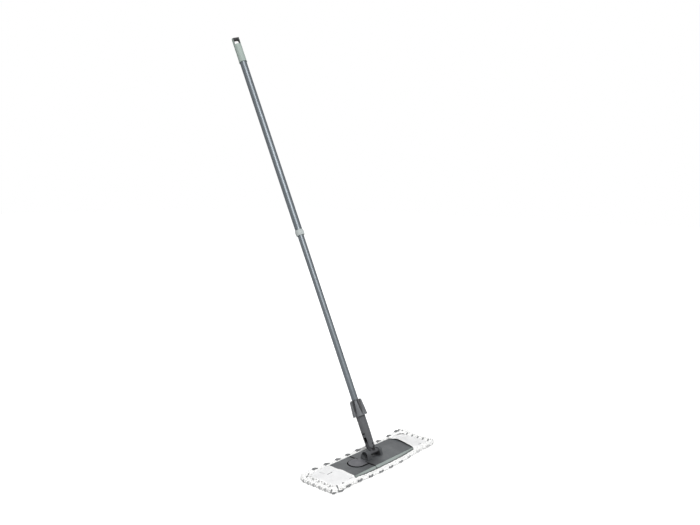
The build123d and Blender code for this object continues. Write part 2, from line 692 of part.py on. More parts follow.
def pedal_spring():
    foot = PLATE_FOOT + CUP_FLOOR + SPRING_WIRE_R + SOFT
    top = PEDAL_FOOT - SPRING_WIRE_R - SOFT
    pitch = (top - foot) / SPRING_TURNS
    arcs = []
    ways = [SPRING_R, -SPRING_R]
    for half_turn in range(2 * SPRING_TURNS):
        start_x = ways[half_turn % 2]
        z = foot + half_turn * pitch / 2
        arcs.append(
            ThreePointArc(
                (start_x, 0, z), (0, start_x, z + pitch / 4), (-start_x, 0, z + pitch / 2)
            )
        )
    turns = [arc @ (step / 8) for arc in arcs for step in range(8)]
    apart = min(
        dist(tuple(one), tuple(two)) for place, one in enumerate(turns) for two in turns[place + 8 :]
    )
    print("least gap between the spring's turns", round(apart - 2 * SPRING_WIRE_R, 2))
    path = Wire(arcs)
    coil = sweep(Plane(arcs[0] @ 0, z_dir=arcs[0] % 0) * Circle(SPRING_WIRE_R), path)
    return Pos(SPRING_X, 0, 0) * coil


# Pad


def pad_tufts():
    pile = extrude(RectangleRounded(PAD_LENGTH, PAD_WIDTH, PAD_CORNER), PILE_HEIGHT)
    pile = fillet(pile.edges().group_by(Axis.Z)[-1], PILE_TOP_ROUND)
    pile = fillet(pile.edges().group_by(Axis.Z)[0], PILE_FOOT_ROUND)
    tray = RectangleRounded(TRAY_LENGTH, TRAY_WIDTH, TRAY_CORNER)
    pile -= Pos(0, 0, PILE_FLOOR) * extrude(tray, PILE_HEIGHT)
    rim = pile.edges().group_by(Axis.Z)[-1].filter_by(
        lambda edge: abs(edge.center().X) < TRAY_LENGTH / 2 + 1 and abs(edge.center().Y) < TRAY_WIDTH / 2 + 1
    )
    return fillet(rim, TRAY_ROUND)


def pad_base():
    cloth = RectangleRounded(TRAY_LENGTH - 2, TRAY_WIDTH - 2, TRAY_CORNER - 1)
    return Pos(0, 0, PILE_FLOOR) * extrude(cloth, BASE_CLOTH)


def pocket_section(x, foot_half, top_half, top, foot):
    """Upright section of the pocket across the pad, at one place along it."""
    outline = [(-foot_half, foot), (foot_half, foot), (top_half, top), (-top_half, top)]
    return Pos(x, 0, 0) * (Plane.YZ * make_face(Polyline(*outline, close=True)))


def right_pocket():
    foot = PLATE_FOOT
    mouth_drop = PLATE_SLOPE_DROP * (POCKET_MOUTH - SLOPE_FROM) / PLATE_SLOPE_RUN
    mouth_top = PLATE_TOP - mouth_drop + POCKET_EASE
    end_top = PLATE_TOP - PLATE_SLOPE_DROP + POCKET_EASE
    end = PLATE_END + POCKET_EASE
    seam = end + POCKET_SEAM
    foot_half = TRAY_WIDTH / 2 - 1
    top_half = PLATE_HALF + 3 * POCKET_EASE
    shells = []
    for cloth in (POCKET_CLOTH, 0):
        inner = foot_half - POCKET_CLOTH + cloth
        last = seam - POCKET_CLOTH + cloth
        shell = loft(
            [
                pocket_section(POCKET_MOUTH, inner, top_half + cloth, mouth_top + cloth, foot),
                pocket_section(end + cloth, inner, top_half + cloth, end_top + cloth, foot),
                pocket_section(last, inner, top_half + cloth, foot + 1 + cloth, foot),
            ],
            ruled=True,
        )
        corners = RectangleRounded(2 * last, 2 * inner, TRAY_CORNER - 2 + cloth)
        shells.append(shell & extrude(Pos(0, 0, foot) * corners, PLATE_HEIGHT + OVERCUT))
    return shells[0] - shells[1]


NODES = {
    "upper_tube": HANDLE * upper_tube(),
    "end_cap": HANDLE * end_cap(),
    "hanger_insert": HANDLE * hanger_insert(),
    "tube_collar": HANDLE * tube_collar(),
    "lock_sleeve": HANDLE * lock_sleeve(),
    "lock_cone": HANDLE * lock_cone(),
    "lock_plug": HANDLE * lock_plug(),
    "lower_tube": HANDLE * lower_tube(),
    "neck": HANDLE * neck(),
    "clamp_nut": HANDLE * clamp_nut(),
    "cross_pin": HANDLE * cross_pin(),
    "joint_hub": HANDLE * joint_hub(),
    "axle_pin": axle_pin(),
    "main_plate": main_plate(),
    "left_flap": left_flap(),
    "main_edge_strips": main_edge_strips(),
    "flap_edge_strips": flap_edge_strips(),
    "hinge_pins": hinge_pins(),
    "pedal": pedal(),
    "pedal_pin": pedal_pin(),
    "pedal_spring": pedal_spring(),
    "pad_tufts": pad_tufts(),
    "pad_base": pad_base(),
    "right_pocket": right_pocket(),
    "left_pocket": mirror(right_pocket(), Plane.YZ),
}

os.makedirs("parts", exist_ok=True)
for name, shape in NODES.items():
    export_step(shape, f"parts/{name}.step")
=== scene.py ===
import bpy
import bmesh
import numpy as np
from math import copysign, cos, exp, hypot, pi, radians, sin, sqrt
from mathutils import Euler, Matrix, Vector, noise


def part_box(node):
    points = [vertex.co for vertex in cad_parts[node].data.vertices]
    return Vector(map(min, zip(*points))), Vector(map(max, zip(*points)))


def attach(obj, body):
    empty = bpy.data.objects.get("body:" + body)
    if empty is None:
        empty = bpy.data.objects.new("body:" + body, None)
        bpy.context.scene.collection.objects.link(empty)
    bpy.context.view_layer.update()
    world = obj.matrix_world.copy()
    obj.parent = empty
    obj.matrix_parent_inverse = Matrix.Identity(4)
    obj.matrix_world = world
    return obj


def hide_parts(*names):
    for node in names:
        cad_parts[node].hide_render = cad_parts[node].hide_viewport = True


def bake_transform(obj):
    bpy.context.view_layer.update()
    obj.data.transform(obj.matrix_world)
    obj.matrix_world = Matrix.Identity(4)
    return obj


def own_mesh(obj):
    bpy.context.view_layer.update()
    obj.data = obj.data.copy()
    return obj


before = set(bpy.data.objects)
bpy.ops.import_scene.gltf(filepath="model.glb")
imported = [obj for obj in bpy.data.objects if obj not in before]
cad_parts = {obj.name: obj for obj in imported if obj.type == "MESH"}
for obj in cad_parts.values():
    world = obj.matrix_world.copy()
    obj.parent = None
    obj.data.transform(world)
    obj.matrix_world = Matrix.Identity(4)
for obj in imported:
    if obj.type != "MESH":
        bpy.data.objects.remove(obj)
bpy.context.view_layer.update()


# Pile bed. The ground of the mop pad: thick white microfibre pile, knitted in one piece and
# rolled up round the rim into a soft border, with a flat tray inside for the plates.
# It is as limp as a towel, so it bends along the line where the head folds.
FOLD_LINE = -0.0462
BED_HALF = (0.2335, 0.0605)
BED_CORNER = 0.017
TRAY_HALF = (0.213, 0.0553)
TRAY_CORNER = 0.014
BED_PROFILE = (
    (0.55, 0.0034), (0.25, 0.0034), (0.07, 0.005), (0, 0.008), (0.05, 0.0108),
    (0.25, 0.0128), (0.5, 0.0132), (0.78, 0.0118), (0.95, 0.0092), (1, 0.0062), (1, 0.0043),
)
END_POINTS, CORNER_POINTS, SIDE_POINTS = 9, 10, 52
BED_LUMP = 0.0005
LUMPS_PER_METRE = 110
BED_FOOT = 0.0045
BED_CREST = 0.0132
BED_DROP = {-1: 0.0056, 1: 0.0016}
DROP_X, DROP_Y = (0.06, 0.17), (0.04, 0.052)
BED_CURL = {(-1, -1): 0, (1, -1): 0.0015, (-1, 1): 0.0035, (1, 1): 0.007}
CURL_X, CURL_Y = (0.13, 0.225), (0.02, 0.056)
BED_OUT = {-1: (0, 0.0065), 1: (0.0046, 0.0068)}
OUT_X, OUT_Y = (0.02, 0.16), (0.054, 0.059)
PILE_TONES = ((0.82, 0.822, 0.82), (0.9, 0.9, 0.89))
scene = bpy.context.scene


def half_outline(half, corner):
    """Points of a rounded rectangle from its right end, along its back, to its left end."""
    flat_x, flat_y = half[0] - corner, half[1] - corner
    quarter = [(half[0], flat_y * k / END_POINTS) for k in range(END_POINTS)]
    for k in range(CORNER_POINTS):
        turn = pi / 2 * k / CORNER_POINTS
        quarter.append((flat_x + corner * cos(turn), flat_y + corner * sin(turn)))
    quarter += [(flat_x * (1 - k / SIDE_POINTS), half[1]) for k in range(SIDE_POINTS)]
    left = [(-x, y) for x, y in reversed(quarter)]
    return np.array(quarter + [(0, half[1])] + left)


def eased(value, low, high):
    """0 below the low value, 1 above the high one, soft between."""
    share = min(max((value - low) / (high - low), 0), 1)
    return share * share * (3 - 2 * share)


def settled(x, y, height):
    """A point of the rim as it lies in use: pressed down and out by the edge strips along the
    middle of the long sides, and curled up at the corners."""
    end, side = 1 if x > 0 else -1, 1 if y > 0 else -1
    middle = eased(abs(y), *DROP_Y) * (1 - eased(abs(x), *DROP_X))
    corner = eased(abs(x), *CURL_X) * eased(abs(y), *CURL_Y)
    share = max((height - BED_FOOT) / (BED_CREST - BED_FOOT), 0)
    lift = share * (corner * BED_CURL[end, side] - middle * BED_DROP[side])
    at_ends, at_middle = BED_OUT[side]
    out = at_middle + (at_ends - at_middle) * eased(abs(x), *OUT_X)
    return x, y + side * out * eased(abs(y), *OUT_Y), height + lift


def sleeve(start, rings, sides):
    """Faces between rings of points that follow one another."""
    count = (rings - 1) * sides
    edges = [(start + k, start + k // sides * sides + (k + 1) % sides) for k in range(count)]
    return [(a, b, b + sides, a + sides) for a, b in edges]


def ladder(start, count, ring):
    """Faces that close a ring: one over each flat end, and between them one after another
    across the pad, so that the fill bends at the fold."""
    last, reach = count - 1, END_POINTS + 1
    faces = [range(-reach, reach + 1), range(last - reach, last + reach + 1)]
    faces += [(k, k + 1, -k - 1, -k) for k in range(reach, last - reach)]
    return [[start + k % ring for k in face] for face in faces]


def stand(name, data):
    """An object in the scene."""
    made = bpy.data.objects.new(name, data)
    scene.collection.objects.link(made)
    return made


def new_piece(name, points, faces, *finishes):
    """An object of its own at the origin, smooth, with its faces turned outwards."""
    mesh = bpy.data.meshes.new(name)
    mesh.from_pydata([tuple(point) for point in points], [], faces)
    shape = bmesh.new()
    shape.from_mesh(mesh)
    bmesh.ops.recalc_face_normals(shape, faces=shape.faces)
    shape.to_mesh(mesh)
    shape.free()
    mesh.polygons.foreach_set("use_smooth", [True] * len(mesh.polygons))
    for finish in finishes:
        mesh.materials.append(finish)
    return stand(name, mesh)


def bend_at_fold(piece):
    """Bakes the piece's place into its mesh and leaves the object at the origin."""
    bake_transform(piece)


def new_group(name, inputs, outputs, kind="ShaderNodeTree"):
    """An empty node group with its sockets, each (name, sort) or (name, sort, value)."""
    group = bpy.data.node_groups.new(name, kind)
    for way, sockets in (("INPUT", inputs), ("OUTPUT", outputs)):
        for label, sort, *value in sockets:
            socket = group.interface.new_socket(label, in_out=way, socket_type="NodeSocket" + sort)
            if value:
                socket.default_value = value[0]
    return group, group.nodes.new("NodeGroupInput").outputs, group.nodes.new("NodeGroupOutput")


def join(tree, socket, value):
    """Sets an input to a value or a colour, or links it from another socket."""
    if isinstance(value, bpy.types.NodeSocket):
        tree.links.new(value, socket)
    elif socket.type == "RGBA":
        socket.default_value = (*value, 1)
    else:
        socket.default_value = value


def feed(tree, made, **inputs):
    """Joins the inputs of a node by name."""
    for label, value in inputs.items():
        join(tree, made.inputs[label.replace("_", " ")], value)
    return made


def node(tree, kind, *values, **named):
    """A node with its inputs joined in order or by name. Names in small letters are settings."""
    made = tree.nodes.new(kind)
    for key in [key for key in named if key.islower()]:
        setattr(made, key, named.pop(key))
    for socket, value in zip(made.inputs, values):
        join(tree, socket, value)
    return feed(tree, made, **named)


def calc(tree, operation, *values):
    """One step of arithmetic."""
    return node(tree, "ShaderNodeMath", *values, operation=operation).outputs[0]


def ramp(tree, value, low, high, to_low=0, to_high=1):
    """The value stretched from one range to another and held inside it."""
    return node(tree, "ShaderNodeMapRange", value, low, high, to_low, to_high).outputs["Result"]


def mixed(tree, factor, first, second):
    """Two colours mixed by a factor."""
    made = node(tree, "ShaderNodeMix", factor, data_type="RGBA")
    join(tree, made.inputs[6], first)
    join(tree, made.inputs[7], second)
    return made.outputs[2]


def clouds(tree, place, scale, detail, rough=0.5):
    """Cloudy unevenness from 0 to 1."""
    made = node(tree, "ShaderNodeTexNoise", Vector=place, Scale=scale, Detail=detail, Roughness=rough)
    return made.outputs["Fac"]


def here(tree):
    """The place on the piece, in the frame that all pieces share."""
    return node(tree, "ShaderNodeTexCoord").outputs["Object"]


def new_finish(name):
    """A material with its nodes and its shader."""
    finish = bpy.data.materials.new(name)
    finish.use_nodes = True
    return finish, finish.node_tree, finish.node_tree.nodes["Principled BSDF"]


def clad(tree, shader, colour, rough, height, relief, gloss, sheen=(0, 0.5)):
    """Gives a shader its colour, roughness, relief in metres, gloss, and sheen with its spread."""
    bump = node(tree, "ShaderNodeBump", Height=height, Distance=relief, Strength=1)
    feed(tree, shader, Base_Color=colour, Roughness=rough, Normal=bump.outputs["Normal"])
    feed(tree, shader, Specular_IOR_Level=gloss, Sheen_Weight=sheen[0], Sheen_Roughness=sheen[1])


# Soft short fibres: a height and a tone that vary from tuft to tuft.
HEIGHT_AND_TONE = [("Height", "Float"), ("Tone", "Float")]
pile_fuzz, into, out = new_group(
    "pile_fuzz",
    [("Vector", "Vector"), ("Fibre size", "Float", 0.0012), ("Tuft size", "Float", 0.007)],
    HEIGHT_AND_TONE,
)
tree, place = pile_fuzz, into["Vector"]
fibre = clouds(tree, place, calc(tree, "DIVIDE", 1, into["Fibre size"]), 3, 0.65)
tuft_scale = calc(tree, "DIVIDE", 1, into["Tuft size"])
cells = node(tree, "ShaderNodeTexVoronoi", feature="SMOOTH_F1", Vector=place, Scale=tuft_scale)
height = calc(tree, "MULTIPLY_ADD", fibre, 0.45, ramp(tree, cells.outputs["Distance"], 0, 0.8, 1, 0))
feed(tree, out, Height=height, Tone=ramp(tree, height, 0.25, 1.1))

bed_finish, tree, shader = new_finish("white_pile")
fuzz = node(tree, "ShaderNodeGroup", here(tree), node_tree=pile_fuzz).outputs
colour = mixed(tree, fuzz["Tone"], *PILE_TONES)
rough = ramp(tree, fuzz["Tone"], 0, 1, 0.97, 0.86)
clad(tree, shader, colour, rough, fuzz["Height"], relief=0.0014, gloss=0.15, sheen=(0.25, 0.6))

outer = half_outline(BED_HALF, BED_CORNER)
inner = half_outline(TRAY_HALF, TRAY_CORNER)
ring = 2 * len(outer) - 2
last = len(BED_PROFILE) - 1
points = []
for step, (share, height) in enumerate(BED_PROFILE):
    lumpy = BED_LUMP if 0 < step < last - 1 else 0
    back = outer * (1 - share) + inner * share
    front = back[-2:0:-1] * (1, -1)
    for x, y in (*back, *front):
        lump = lumpy * noise.noise(Vector((x, y, height)) * LUMPS_PER_METRE)
        points.append(settled(x, y, height + lump))
faces = sleeve(0, len(BED_PROFILE), ring)
faces += ladder(0, len(outer), ring) + ladder(last * ring, len(outer), ring)
pile_bed = new_piece("pile_bed", points, faces, bed_finish)
bend_at_fold(pile_bed)
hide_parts("pad_tufts")


# Yarn loops. Two-ply microfibre yarn tufted through the bed in rows along the pad, one loop
# after another. Most of it is white; grey yarn comes up at every third loop of some rows, and at
# every second one at the ends. Loops hang over the rim and lie pressed flat underneath.
LOOP_LENGTH = 0.01763
LOOP_RISE = 0.002
LOOP_SUNK = 0.001
LOOP_ROUND = 0.7
LOOP_STEPS = 7
PLY_RADIUS = 0.00175
PLY_APART = 0.00125
PLY_TURNS = 0.75
PLY_SIDES = 5
PLY_AT_FOOT = 0.8
LOOP_HANG = 0.5
PLACE_SAYS = ("along", "up", "size")
SHAPE = ("Geometry", "Geometry")
GREY_TONES = ((0.117, 0.12, 0.1224), (0.24375, 0.25, 0.255))


def mm(*values):
    return tuple(value / 1000 for value in values)


def circle(sides):
    """Points round a unit circle."""
    turns = [2 * pi * k / sides for k in range(sides)]
    return [(cos(turn), sin(turn)) for turn in turns]


def capped(start, rings, sides):
    """Faces of a closed tube: between its rings of points and over both ends."""
    last = start + (rings - 1) * sides
    return sleeve(start, rings, sides) + [range(start + sides - 1, start - 1, -1), range(last, last + sides)]


def strand(name, points, faces, sides, steps):
    """A piece made of rings, with a map that runs along and round it."""
    piece = new_piece(name, points, faces)
    lay = piece.data.uv_layers.new(name="yarn")
    for corner in piece.data.loops:
        ring, side = divmod(corner.vertex_index, sides)
        lay.data[corner.index].uv = (ring % (steps + 1) / steps, side / sides)
    return piece


def yarn_loop():
    """One loop of two twisted plies, lying along X with its feet at z 0."""
    points, faces = [], []
    bows = [sin(pi * step / LOOP_STEPS) for step in range(LOOP_STEPS + 1)]
    for ply in (0, pi):
        line = []
        for step, bow in enumerate(bows):
            share = step / LOOP_STEPS
            turn = ply + 2 * pi * PLY_TURNS * share
            lift = LOOP_RISE * bow**LOOP_ROUND + PLY_APART * sin(turn) * bow - LOOP_SUNK
            line.append(np.array((LOOP_LENGTH * (share - 0.5), PLY_APART * cos(turn), lift)))
        faces += capped(len(points), LOOP_STEPS + 1, PLY_SIDES)
        for step, centre in enumerate(line):
            run = line[min(step + 1, LOOP_STEPS)] - line[max(step - 1, 0)]
            tangent = run / np.linalg.norm(run)
            across = np.cross((0, 0, 1), tangent)
            across /= np.linalg.norm(across)
            over = np.cross(tangent, across)
            thick = PLY_RADIUS * (PLY_AT_FOOT + (1 - PLY_AT_FOOT) * bows[step])
            points += [centre + thick * (wide * across + high * over) for wide, high in circle(PLY_SIDES)]
    return strand("loop", points, faces, PLY_SIDES, LOOP_STEPS)


def spread(grey, between, reach):
    """Places along a row and whether each is grey, with white loops between and beyond."""
    steps = between + 1
    places = [(grey[-1], True)]
    for first, second in zip(grey, grey[1:]):
        places += [(first + (second - first) * k / steps, k == 0) for k in range(steps)]
    pitch = (grey[-1] - grey[0]) / (len(grey) - 1) / steps
    for end, step in ((grey[0], -pitch), (grey[-1], pitch)):
        places += [(place, False) for place in np.arange(end + step, copysign(reach, step), step)]
    return sorted(places)


def grown_from(group, geometry, finish, out):
    """Ends a tree that grows a piece: its copies made real and given their finish."""
    real = node(group, "GeometryNodeRealizeInstances", geometry).outputs[0]
    feed(group, out, Geometry=node(group, "GeometryNodeSetMaterial", real, Material=finish).outputs[0])


def vector_calc(tree, operation, *values, **inputs):
    """One step of arithmetic on vectors."""
    made = node(tree, "ShaderNodeVectorMath", *values, operation=operation, **inputs)
    return made.outputs["Value" if operation in ("LENGTH", "DISTANCE") else "Vector"]


def parts_of(tree, place):
    """X, Y and Z of a place."""
    return node(tree, "ShaderNodeSeparateXYZ", place).outputs


def set_out(name, group, places, values):
    """Runs a node tree on points that carry directions, sizes and tints; gives a plain mesh.
    A place is (point, along, up, size, tint)."""
    mesh = bpy.data.meshes.new(name)
    mesh.from_pydata([tuple(place[0]) for place in places], [], [])
    for index, label in enumerate(PLACE_SAYS):
        said = mesh.attributes.new(label, "FLOAT_VECTOR", "POINT")
        said.data.foreach_set("vector", [value for place in places for value in place[index + 1]])
    tint = mesh.attributes.new("tint", "FLOAT", "POINT")
    tint.data.foreach_set("value", [place[4] for place in places])
    piece = stand(name, mesh)
    grown = piece.modifiers.new("grown", "NODES")
    grown.node_group = group
    for socket in group.interface.items_tree:
        if socket.in_out == "INPUT" and socket.name in values:
            grown[socket.identifier] = values[socket.name]
    graph = bpy.context.evaluated_depsgraph_get()
    result = piece.evaluated_get(graph)
    made = bpy.data.meshes.new_from_object(result, preserve_all_data_layers=True, depsgraph=graph)
    piece.modifiers.clear()
    piece.data = made
    made.name = name
    for label in PLACE_SAYS:
        if label in made.attributes:
            made.attributes.remove(made.attributes[label])
    return piece


def tuft(place, normal, grey, size, towards=(1, 0, 0)):
    """One loop on the bed, from white (grey 0) to grey (1): it lies along the pad, or hangs down
    where the rim faces along it."""
    up = Vector(normal).normalized()
    along = Vector(towards) - up * up.dot(Vector(towards))
    along += Vector((0, 0, -LOOP_HANG)) * abs(up.x) * (1 if up.x >= 0 else -1)
    along -= up * up.dot(along)
    return (place, along.normalized(), up, size, float(grey))


# A loop on each point, laid along and facing up as the point says.
loops, into, out = new_group(
    "tufted_loops",
    [
        SHAPE, ("Loop", "Object"), ("Loop size", "Float", 1.0),
        ("Unevenness", "Float", 0.1), ("Seed", "Int", 7), ("Yarn", "Material"),
    ],
    [SHAPE],
    "GeometryNodeTree",
)
SAID, TURN = "GeometryNodeInputNamedAttribute", "FunctionNodeAlignRotationToVector"
along, up, size = [node(loops, SAID, label, data_type="FLOAT_VECTOR").outputs[0] for label in PLACE_SAYS]
laid = node(loops, TURN, axis="X", Vector=along).outputs[0]
turned = node(loops, TURN, axis="Z", pivot_axis="X", Rotation=laid, Vector=up).outputs[0]
chance = node(loops, "FunctionNodeRandomValue", data_type="FLOAT", Seed=into["Seed"])
join(loops, chance.inputs[2], calc(loops, "SUBTRACT", 1, into["Unevenness"]))
join(loops, chance.inputs[3], calc(loops, "ADD", 1, into["Unevenness"]))
uneven = calc(loops, "MULTIPLY", chance.outputs[1], into["Loop size"])
scale = vector_calc(loops, "SCALE", size, Scale=uneven)
source = node(loops, "GeometryNodeObjectInfo", into["Loop"]).outputs["Geometry"]
placed = node(
    loops, "GeometryNodeInstanceOnPoints",
    Points=into["Geometry"], Instance=source, Rotation=turned, Scale=scale,
)
grown_from(loops, placed.outputs[0], into["Yarn"], out)

# The ridges of a twist, with the fur of its fibres.
yarn_twist, into, out = new_group(
    "yarn_twist", [("Vector", "Vector"), ("Turns", "Float", 6)], HEIGHT_AND_TONE,
)
tree, place = yarn_twist, into["Vector"]
along, round_it = parts_of(tree, place)[:2]
wound = calc(tree, "MULTIPLY_ADD", along, into["Turns"], round_it)
wave = calc(tree, "SINE", calc(tree, "MULTIPLY", wound, 2 * pi))
twist = calc(tree, "MULTIPLY_ADD", wave, 0.3, clouds(tree, place, 22, 3))
feed(tree, out, Height=twist, Tone=ramp(tree, twist, 0.1, 0.9))


def spun(name, turns, relief):
    """White or grey yarn, as each loop's tint says, with the ridges of its twist."""
    finish, tree, shader = new_finish(name)
    lay = node(tree, "ShaderNodeUVMap", uv_map="yarn").outputs["UV"]
    twist = node(tree, "ShaderNodeGroup", lay, turns, node_tree=yarn_twist).outputs
    tint = node(tree, "ShaderNodeAttribute", attribute_name="tint").outputs["Fac"]
    white = mixed(tree, twist["Tone"], *PILE_TONES)
    grey = mixed(tree, twist["Tone"], *GREY_TONES)
    rough = ramp(tree, twist["Tone"], 0, 1, 0.95, 0.82)
    colour = mixed(tree, tint, white, grey)
    clad(tree, shader, colour, rough, twist["Height"], relief, gloss=0.15, sheen=(0.2, 0.6))
    return finish


yarn_finish = spun("loop_yarn", turns=5, relief=0.0004)

# Each row of the rim is (inset, height, tilt), from the top down, in front (-1) and behind (1)
# or at the left (-1) and right (1) end.
RIM_ROWS = {
    -1: ((0.0048, 0.0128, 0.3), (0.001, 0.0108, 0.95), (0, 0.0076, 1.5), (0.0014, 0.0048, 2.1)),
    1: (
        (0.0056, 0.0118, 0), (0.0038, 0.0124, 0.2), (0.002, 0.0126, 0.55), (0, 0.0086, 1.4),
        (0.0014, 0.0048, 2.1),
    ),
}
END_TOP_ROWS = {
    -1: ((0.017, 0.0126, 0), (0.0085, 0.013, 0.45)),
    1: ((0.015, 0.0112, -0.4), (0.0085, 0.013, 0.2)),
}
END_LOW_ROWS = ((0.002, 0.0112, 0.95), (0, 0.0066, 1.5), (0.0026, 0.0046, 2.3))
RIM_GREY = {
    -1: mm(-177, -131, -87, -45, -2, 46, 88, 139, 191),
    1: mm(-175, -126, -79, -34, 11, 57, 107, 160, 199),
}
RIM_GREY_ROWS = {-1: (2,), 1: (1, 2)}
END_TOP_GREY = {-1: mm(-39, -21, 0, 20, 41), 1: mm(-44, -25.5, -6.5, 14, 33.5, 52)}
END_LOW_GREY = {-1: mm(-33, -13, 8, 28, 44), 1: mm(-36, -17, 3, 24, 42)}
END_GREY_ROWS = {-1: (1, 3), 1: (0, 3)}
RIM_PAST, END_PAST = 0.004, 0.006
LAST_ROW_SHIFT = 0.0075
FULL_SIZE = (1, 1, 1)
GREY_LOOP = {-1: (1.05, 1.2, 1.1), 1: (1.15, 1.15, 1)}
GREY_PROUD = {-1: 0.0018, 1: 0.0012}
FRONT_FADE = 0.6
FADE_X = (0, 0.15)
SHORT_WHITE = (0.54, 1.05, 1)
SHORT_GREY = (0.5, 0.8, 1)
END_PROUD = 0.0012
END_TINT = {-1: 0.7, 1: 1}
CORNER_LOOP = (0.7, 1.05, 1)
CORNER_TURNS = (15, 37, 59, 80)
CORNER_LAY = 0.2
# Single grey loops: (place in millimetres, normal, way, size).
CORNER_YARN = (
    ((-216, -57, 14.2), (-0.3, -0.5, 0.8), (-6, -10, -3), (0.66, 0.8, 1)),
    ((-218.5, -62.5, 8.5), (-0.4, -0.9, 0.1), (0.3, -0.2, -1), (0.45, 0.8, 1)),
    ((-206, -64, 4.8), (0, -1, -0.2), (1, 0, 0), (1.05, 0.6, 1)),
    ((-233.5, -52, 9.2), (-1, -0.4, 0.4), (0.4, -0.3, 0.8), (0.5, 0.8, 1)),
    ((-231, -59, 5), (-0.7, -0.7, 0), (0.7, -0.7, 0), (0.6, 0.6, 1)),
    ((226.5, -55, 13.6), (0.2, -0.3, 0.9), (0.3, 0.9, 0), (0.5, 0.8, 1)),
    ((209, 59, 20.3), (0, 0.3, 0.9), (1, 0.2, 0), (0.55, 0.8, 1)),
    ((-186, -51, 12.8), (0, -0.4, 0.9), (0.3, 0.9, 0), (0.42, 1, 1)),
)
SEAM_TUFTS = (
    (151, 53, 0), (165, 53, 0), (179, 53, 0), (193, 52.6, 0.1), (203, 50.5, 0.5), (209.5, 45, 1.5),
    (203, -50.5, -0.5), (209.5, -45, -1.5),
)
SEAM_LOOP = (0.8, 1, 0.9)
SEAM_HEIGHT = 0.011
SEAM_LEAN = 0.2
UNDER_ROWS = 13
UNDER_ROW_PITCH = 0.0093
UNDER_PITCH = 0.0152
UNDER_INSET = 0.012
UNDER_HEIGHT = 0.0041
UNDER_LOOP = (1, 1, 0.55)
UNDER_WANDER = 0.0008
UNDER_SLANT = 0.6
WANDERS_PER_METRE = 40

bed_x, bed_y = BED_HALF
straight_x, straight_y = bed_x - BED_CORNER, bed_y - BED_CORNER
rim_places = []
for side in (-1, 1):
    for row, (inset, height, tilt) in enumerate(RIM_ROWS[side]):
        normal = Vector((0, side * sin(tilt), cos(tilt)))
        shift = LAST_ROW_SHIFT if row == len(RIM_ROWS[side]) - 1 else 0
        for x, dark in spread(RIM_GREY[side], 2, straight_x + RIM_PAST):
            shown = dark and row in RIM_GREY_ROWS[side]
            spot = Vector(settled(x + shift, side * (bed_y - inset), height))
            spot += normal * GREY_PROUD[side] * shown
            faded = FRONT_FADE * eased(x, *FADE_X) if side < 0 else 0
            size = GREY_LOOP[side] if shown else FULL_SIZE
            rim_places.append(tuft(spot, normal, shown * (1 - faded), size))
for side in (-1, 1):
    tops = len(END_TOP_ROWS[side])
    for row, (inset, height, tilt) in enumerate(END_TOP_ROWS[side] + END_LOW_ROWS):
        normal = Vector((side * sin(tilt), 0, cos(tilt)))
        grey = END_TOP_GREY[side] if row < tops else END_LOW_GREY[side]
        for y, dark in spread(grey, 1, straight_y + END_PAST):
            shown = dark and row in END_GREY_ROWS[side]
            spot = Vector(settled(side * (bed_x - inset), y, height)) + normal * END_PROUD * shown
            size = SHORT_GREY if shown else SHORT_WHITE
            rim_places.append(tuft(spot, normal, shown * END_TINT[side], size))
    for across in (-1, 1):
        for turn in CORNER_TURNS:
            bow = radians(turn)
            out_x, out_y = side * cos(bow), across * sin(bow)
            for inset, height, tilt in RIM_ROWS[across]:
                reach = BED_CORNER - inset
                spot = settled(side * straight_x + reach * out_x, across * straight_y + reach * out_y, height)
                normal = (sin(tilt) * out_x, sin(tilt) * out_y, cos(tilt))
                tangent = (abs(out_y) + CORNER_LAY, -out_x * across * abs(out_x), 0)
                rim_places.append(tuft(spot, normal, 0, CORNER_LOOP, tangent))
rim_places += [tuft(mm(*spot), normal, 1, size, way) for spot, normal, way, size in CORNER_YARN]
for side in (-1, 1):
    for x, y, slant in SEAM_TUFTS:
        spot = settled(*mm(side * x, y), SEAM_HEIGHT)
        normal = (0, -copysign(SEAM_LEAN, y), 1)
        rim_places.append(tuft(spot, normal, 0, SEAM_LOOP, (side, -slant, 0)))
under_places = []
for row in range(UNDER_ROWS):
    y = (row - (UNDER_ROWS - 1) / 2) * UNDER_ROW_PITCH
    round_end = max(BED_CORNER**2 - max(abs(y) - straight_y, 0) ** 2, 0)
    reach = straight_x + sqrt(round_end) - UNDER_INSET
    count = int(2 * reach / UNDER_PITCH)
    for k in range(count + 1):
        x = -reach + 2 * reach * k / count
        grey = row % 2 == 0 and (k + row) % 3 == 0
        wander = UNDER_WANDER * noise.noise(Vector((x * WANDERS_PER_METRE, y * WANDERS_PER_METRE, 3)))
        spot, way = (x, y + wander, UNDER_HEIGHT), (1, UNDER_SLANT * wander / UNDER_PITCH, 0)
        under_places.append(tuft(spot, (0, 0, -1), grey, UNDER_LOOP, way))
loop = yarn_loop()
values = {"Loop": loop, "Loop size": 1.0, "Unevenness": 0.1, "Yarn": yarn_finish}
for name, places, seed in (("rim_loops", rim_places, 11), ("under_loops", under_places, 12)):
    piece = set_out(name, loops, places, {**values, "Seed": seed})
    bend_at_fold(piece)
bpy.data.objects.remove(loop)


# Backing. A stiff woven sheet sewn inside the tray, between the pile and the plates. The
# pockets are sewn to its rim.
BACKING_HALF = (0.2128, 0.0551)
BACKING_CORNER = 0.0138
BACKING_LEVELS = (0.0044, 0.0056)
BACKING_STEPS = 12
CLOTH_TONES = ((0.755, 0.758, 0.765), (0.89, 0.89, 0.893))

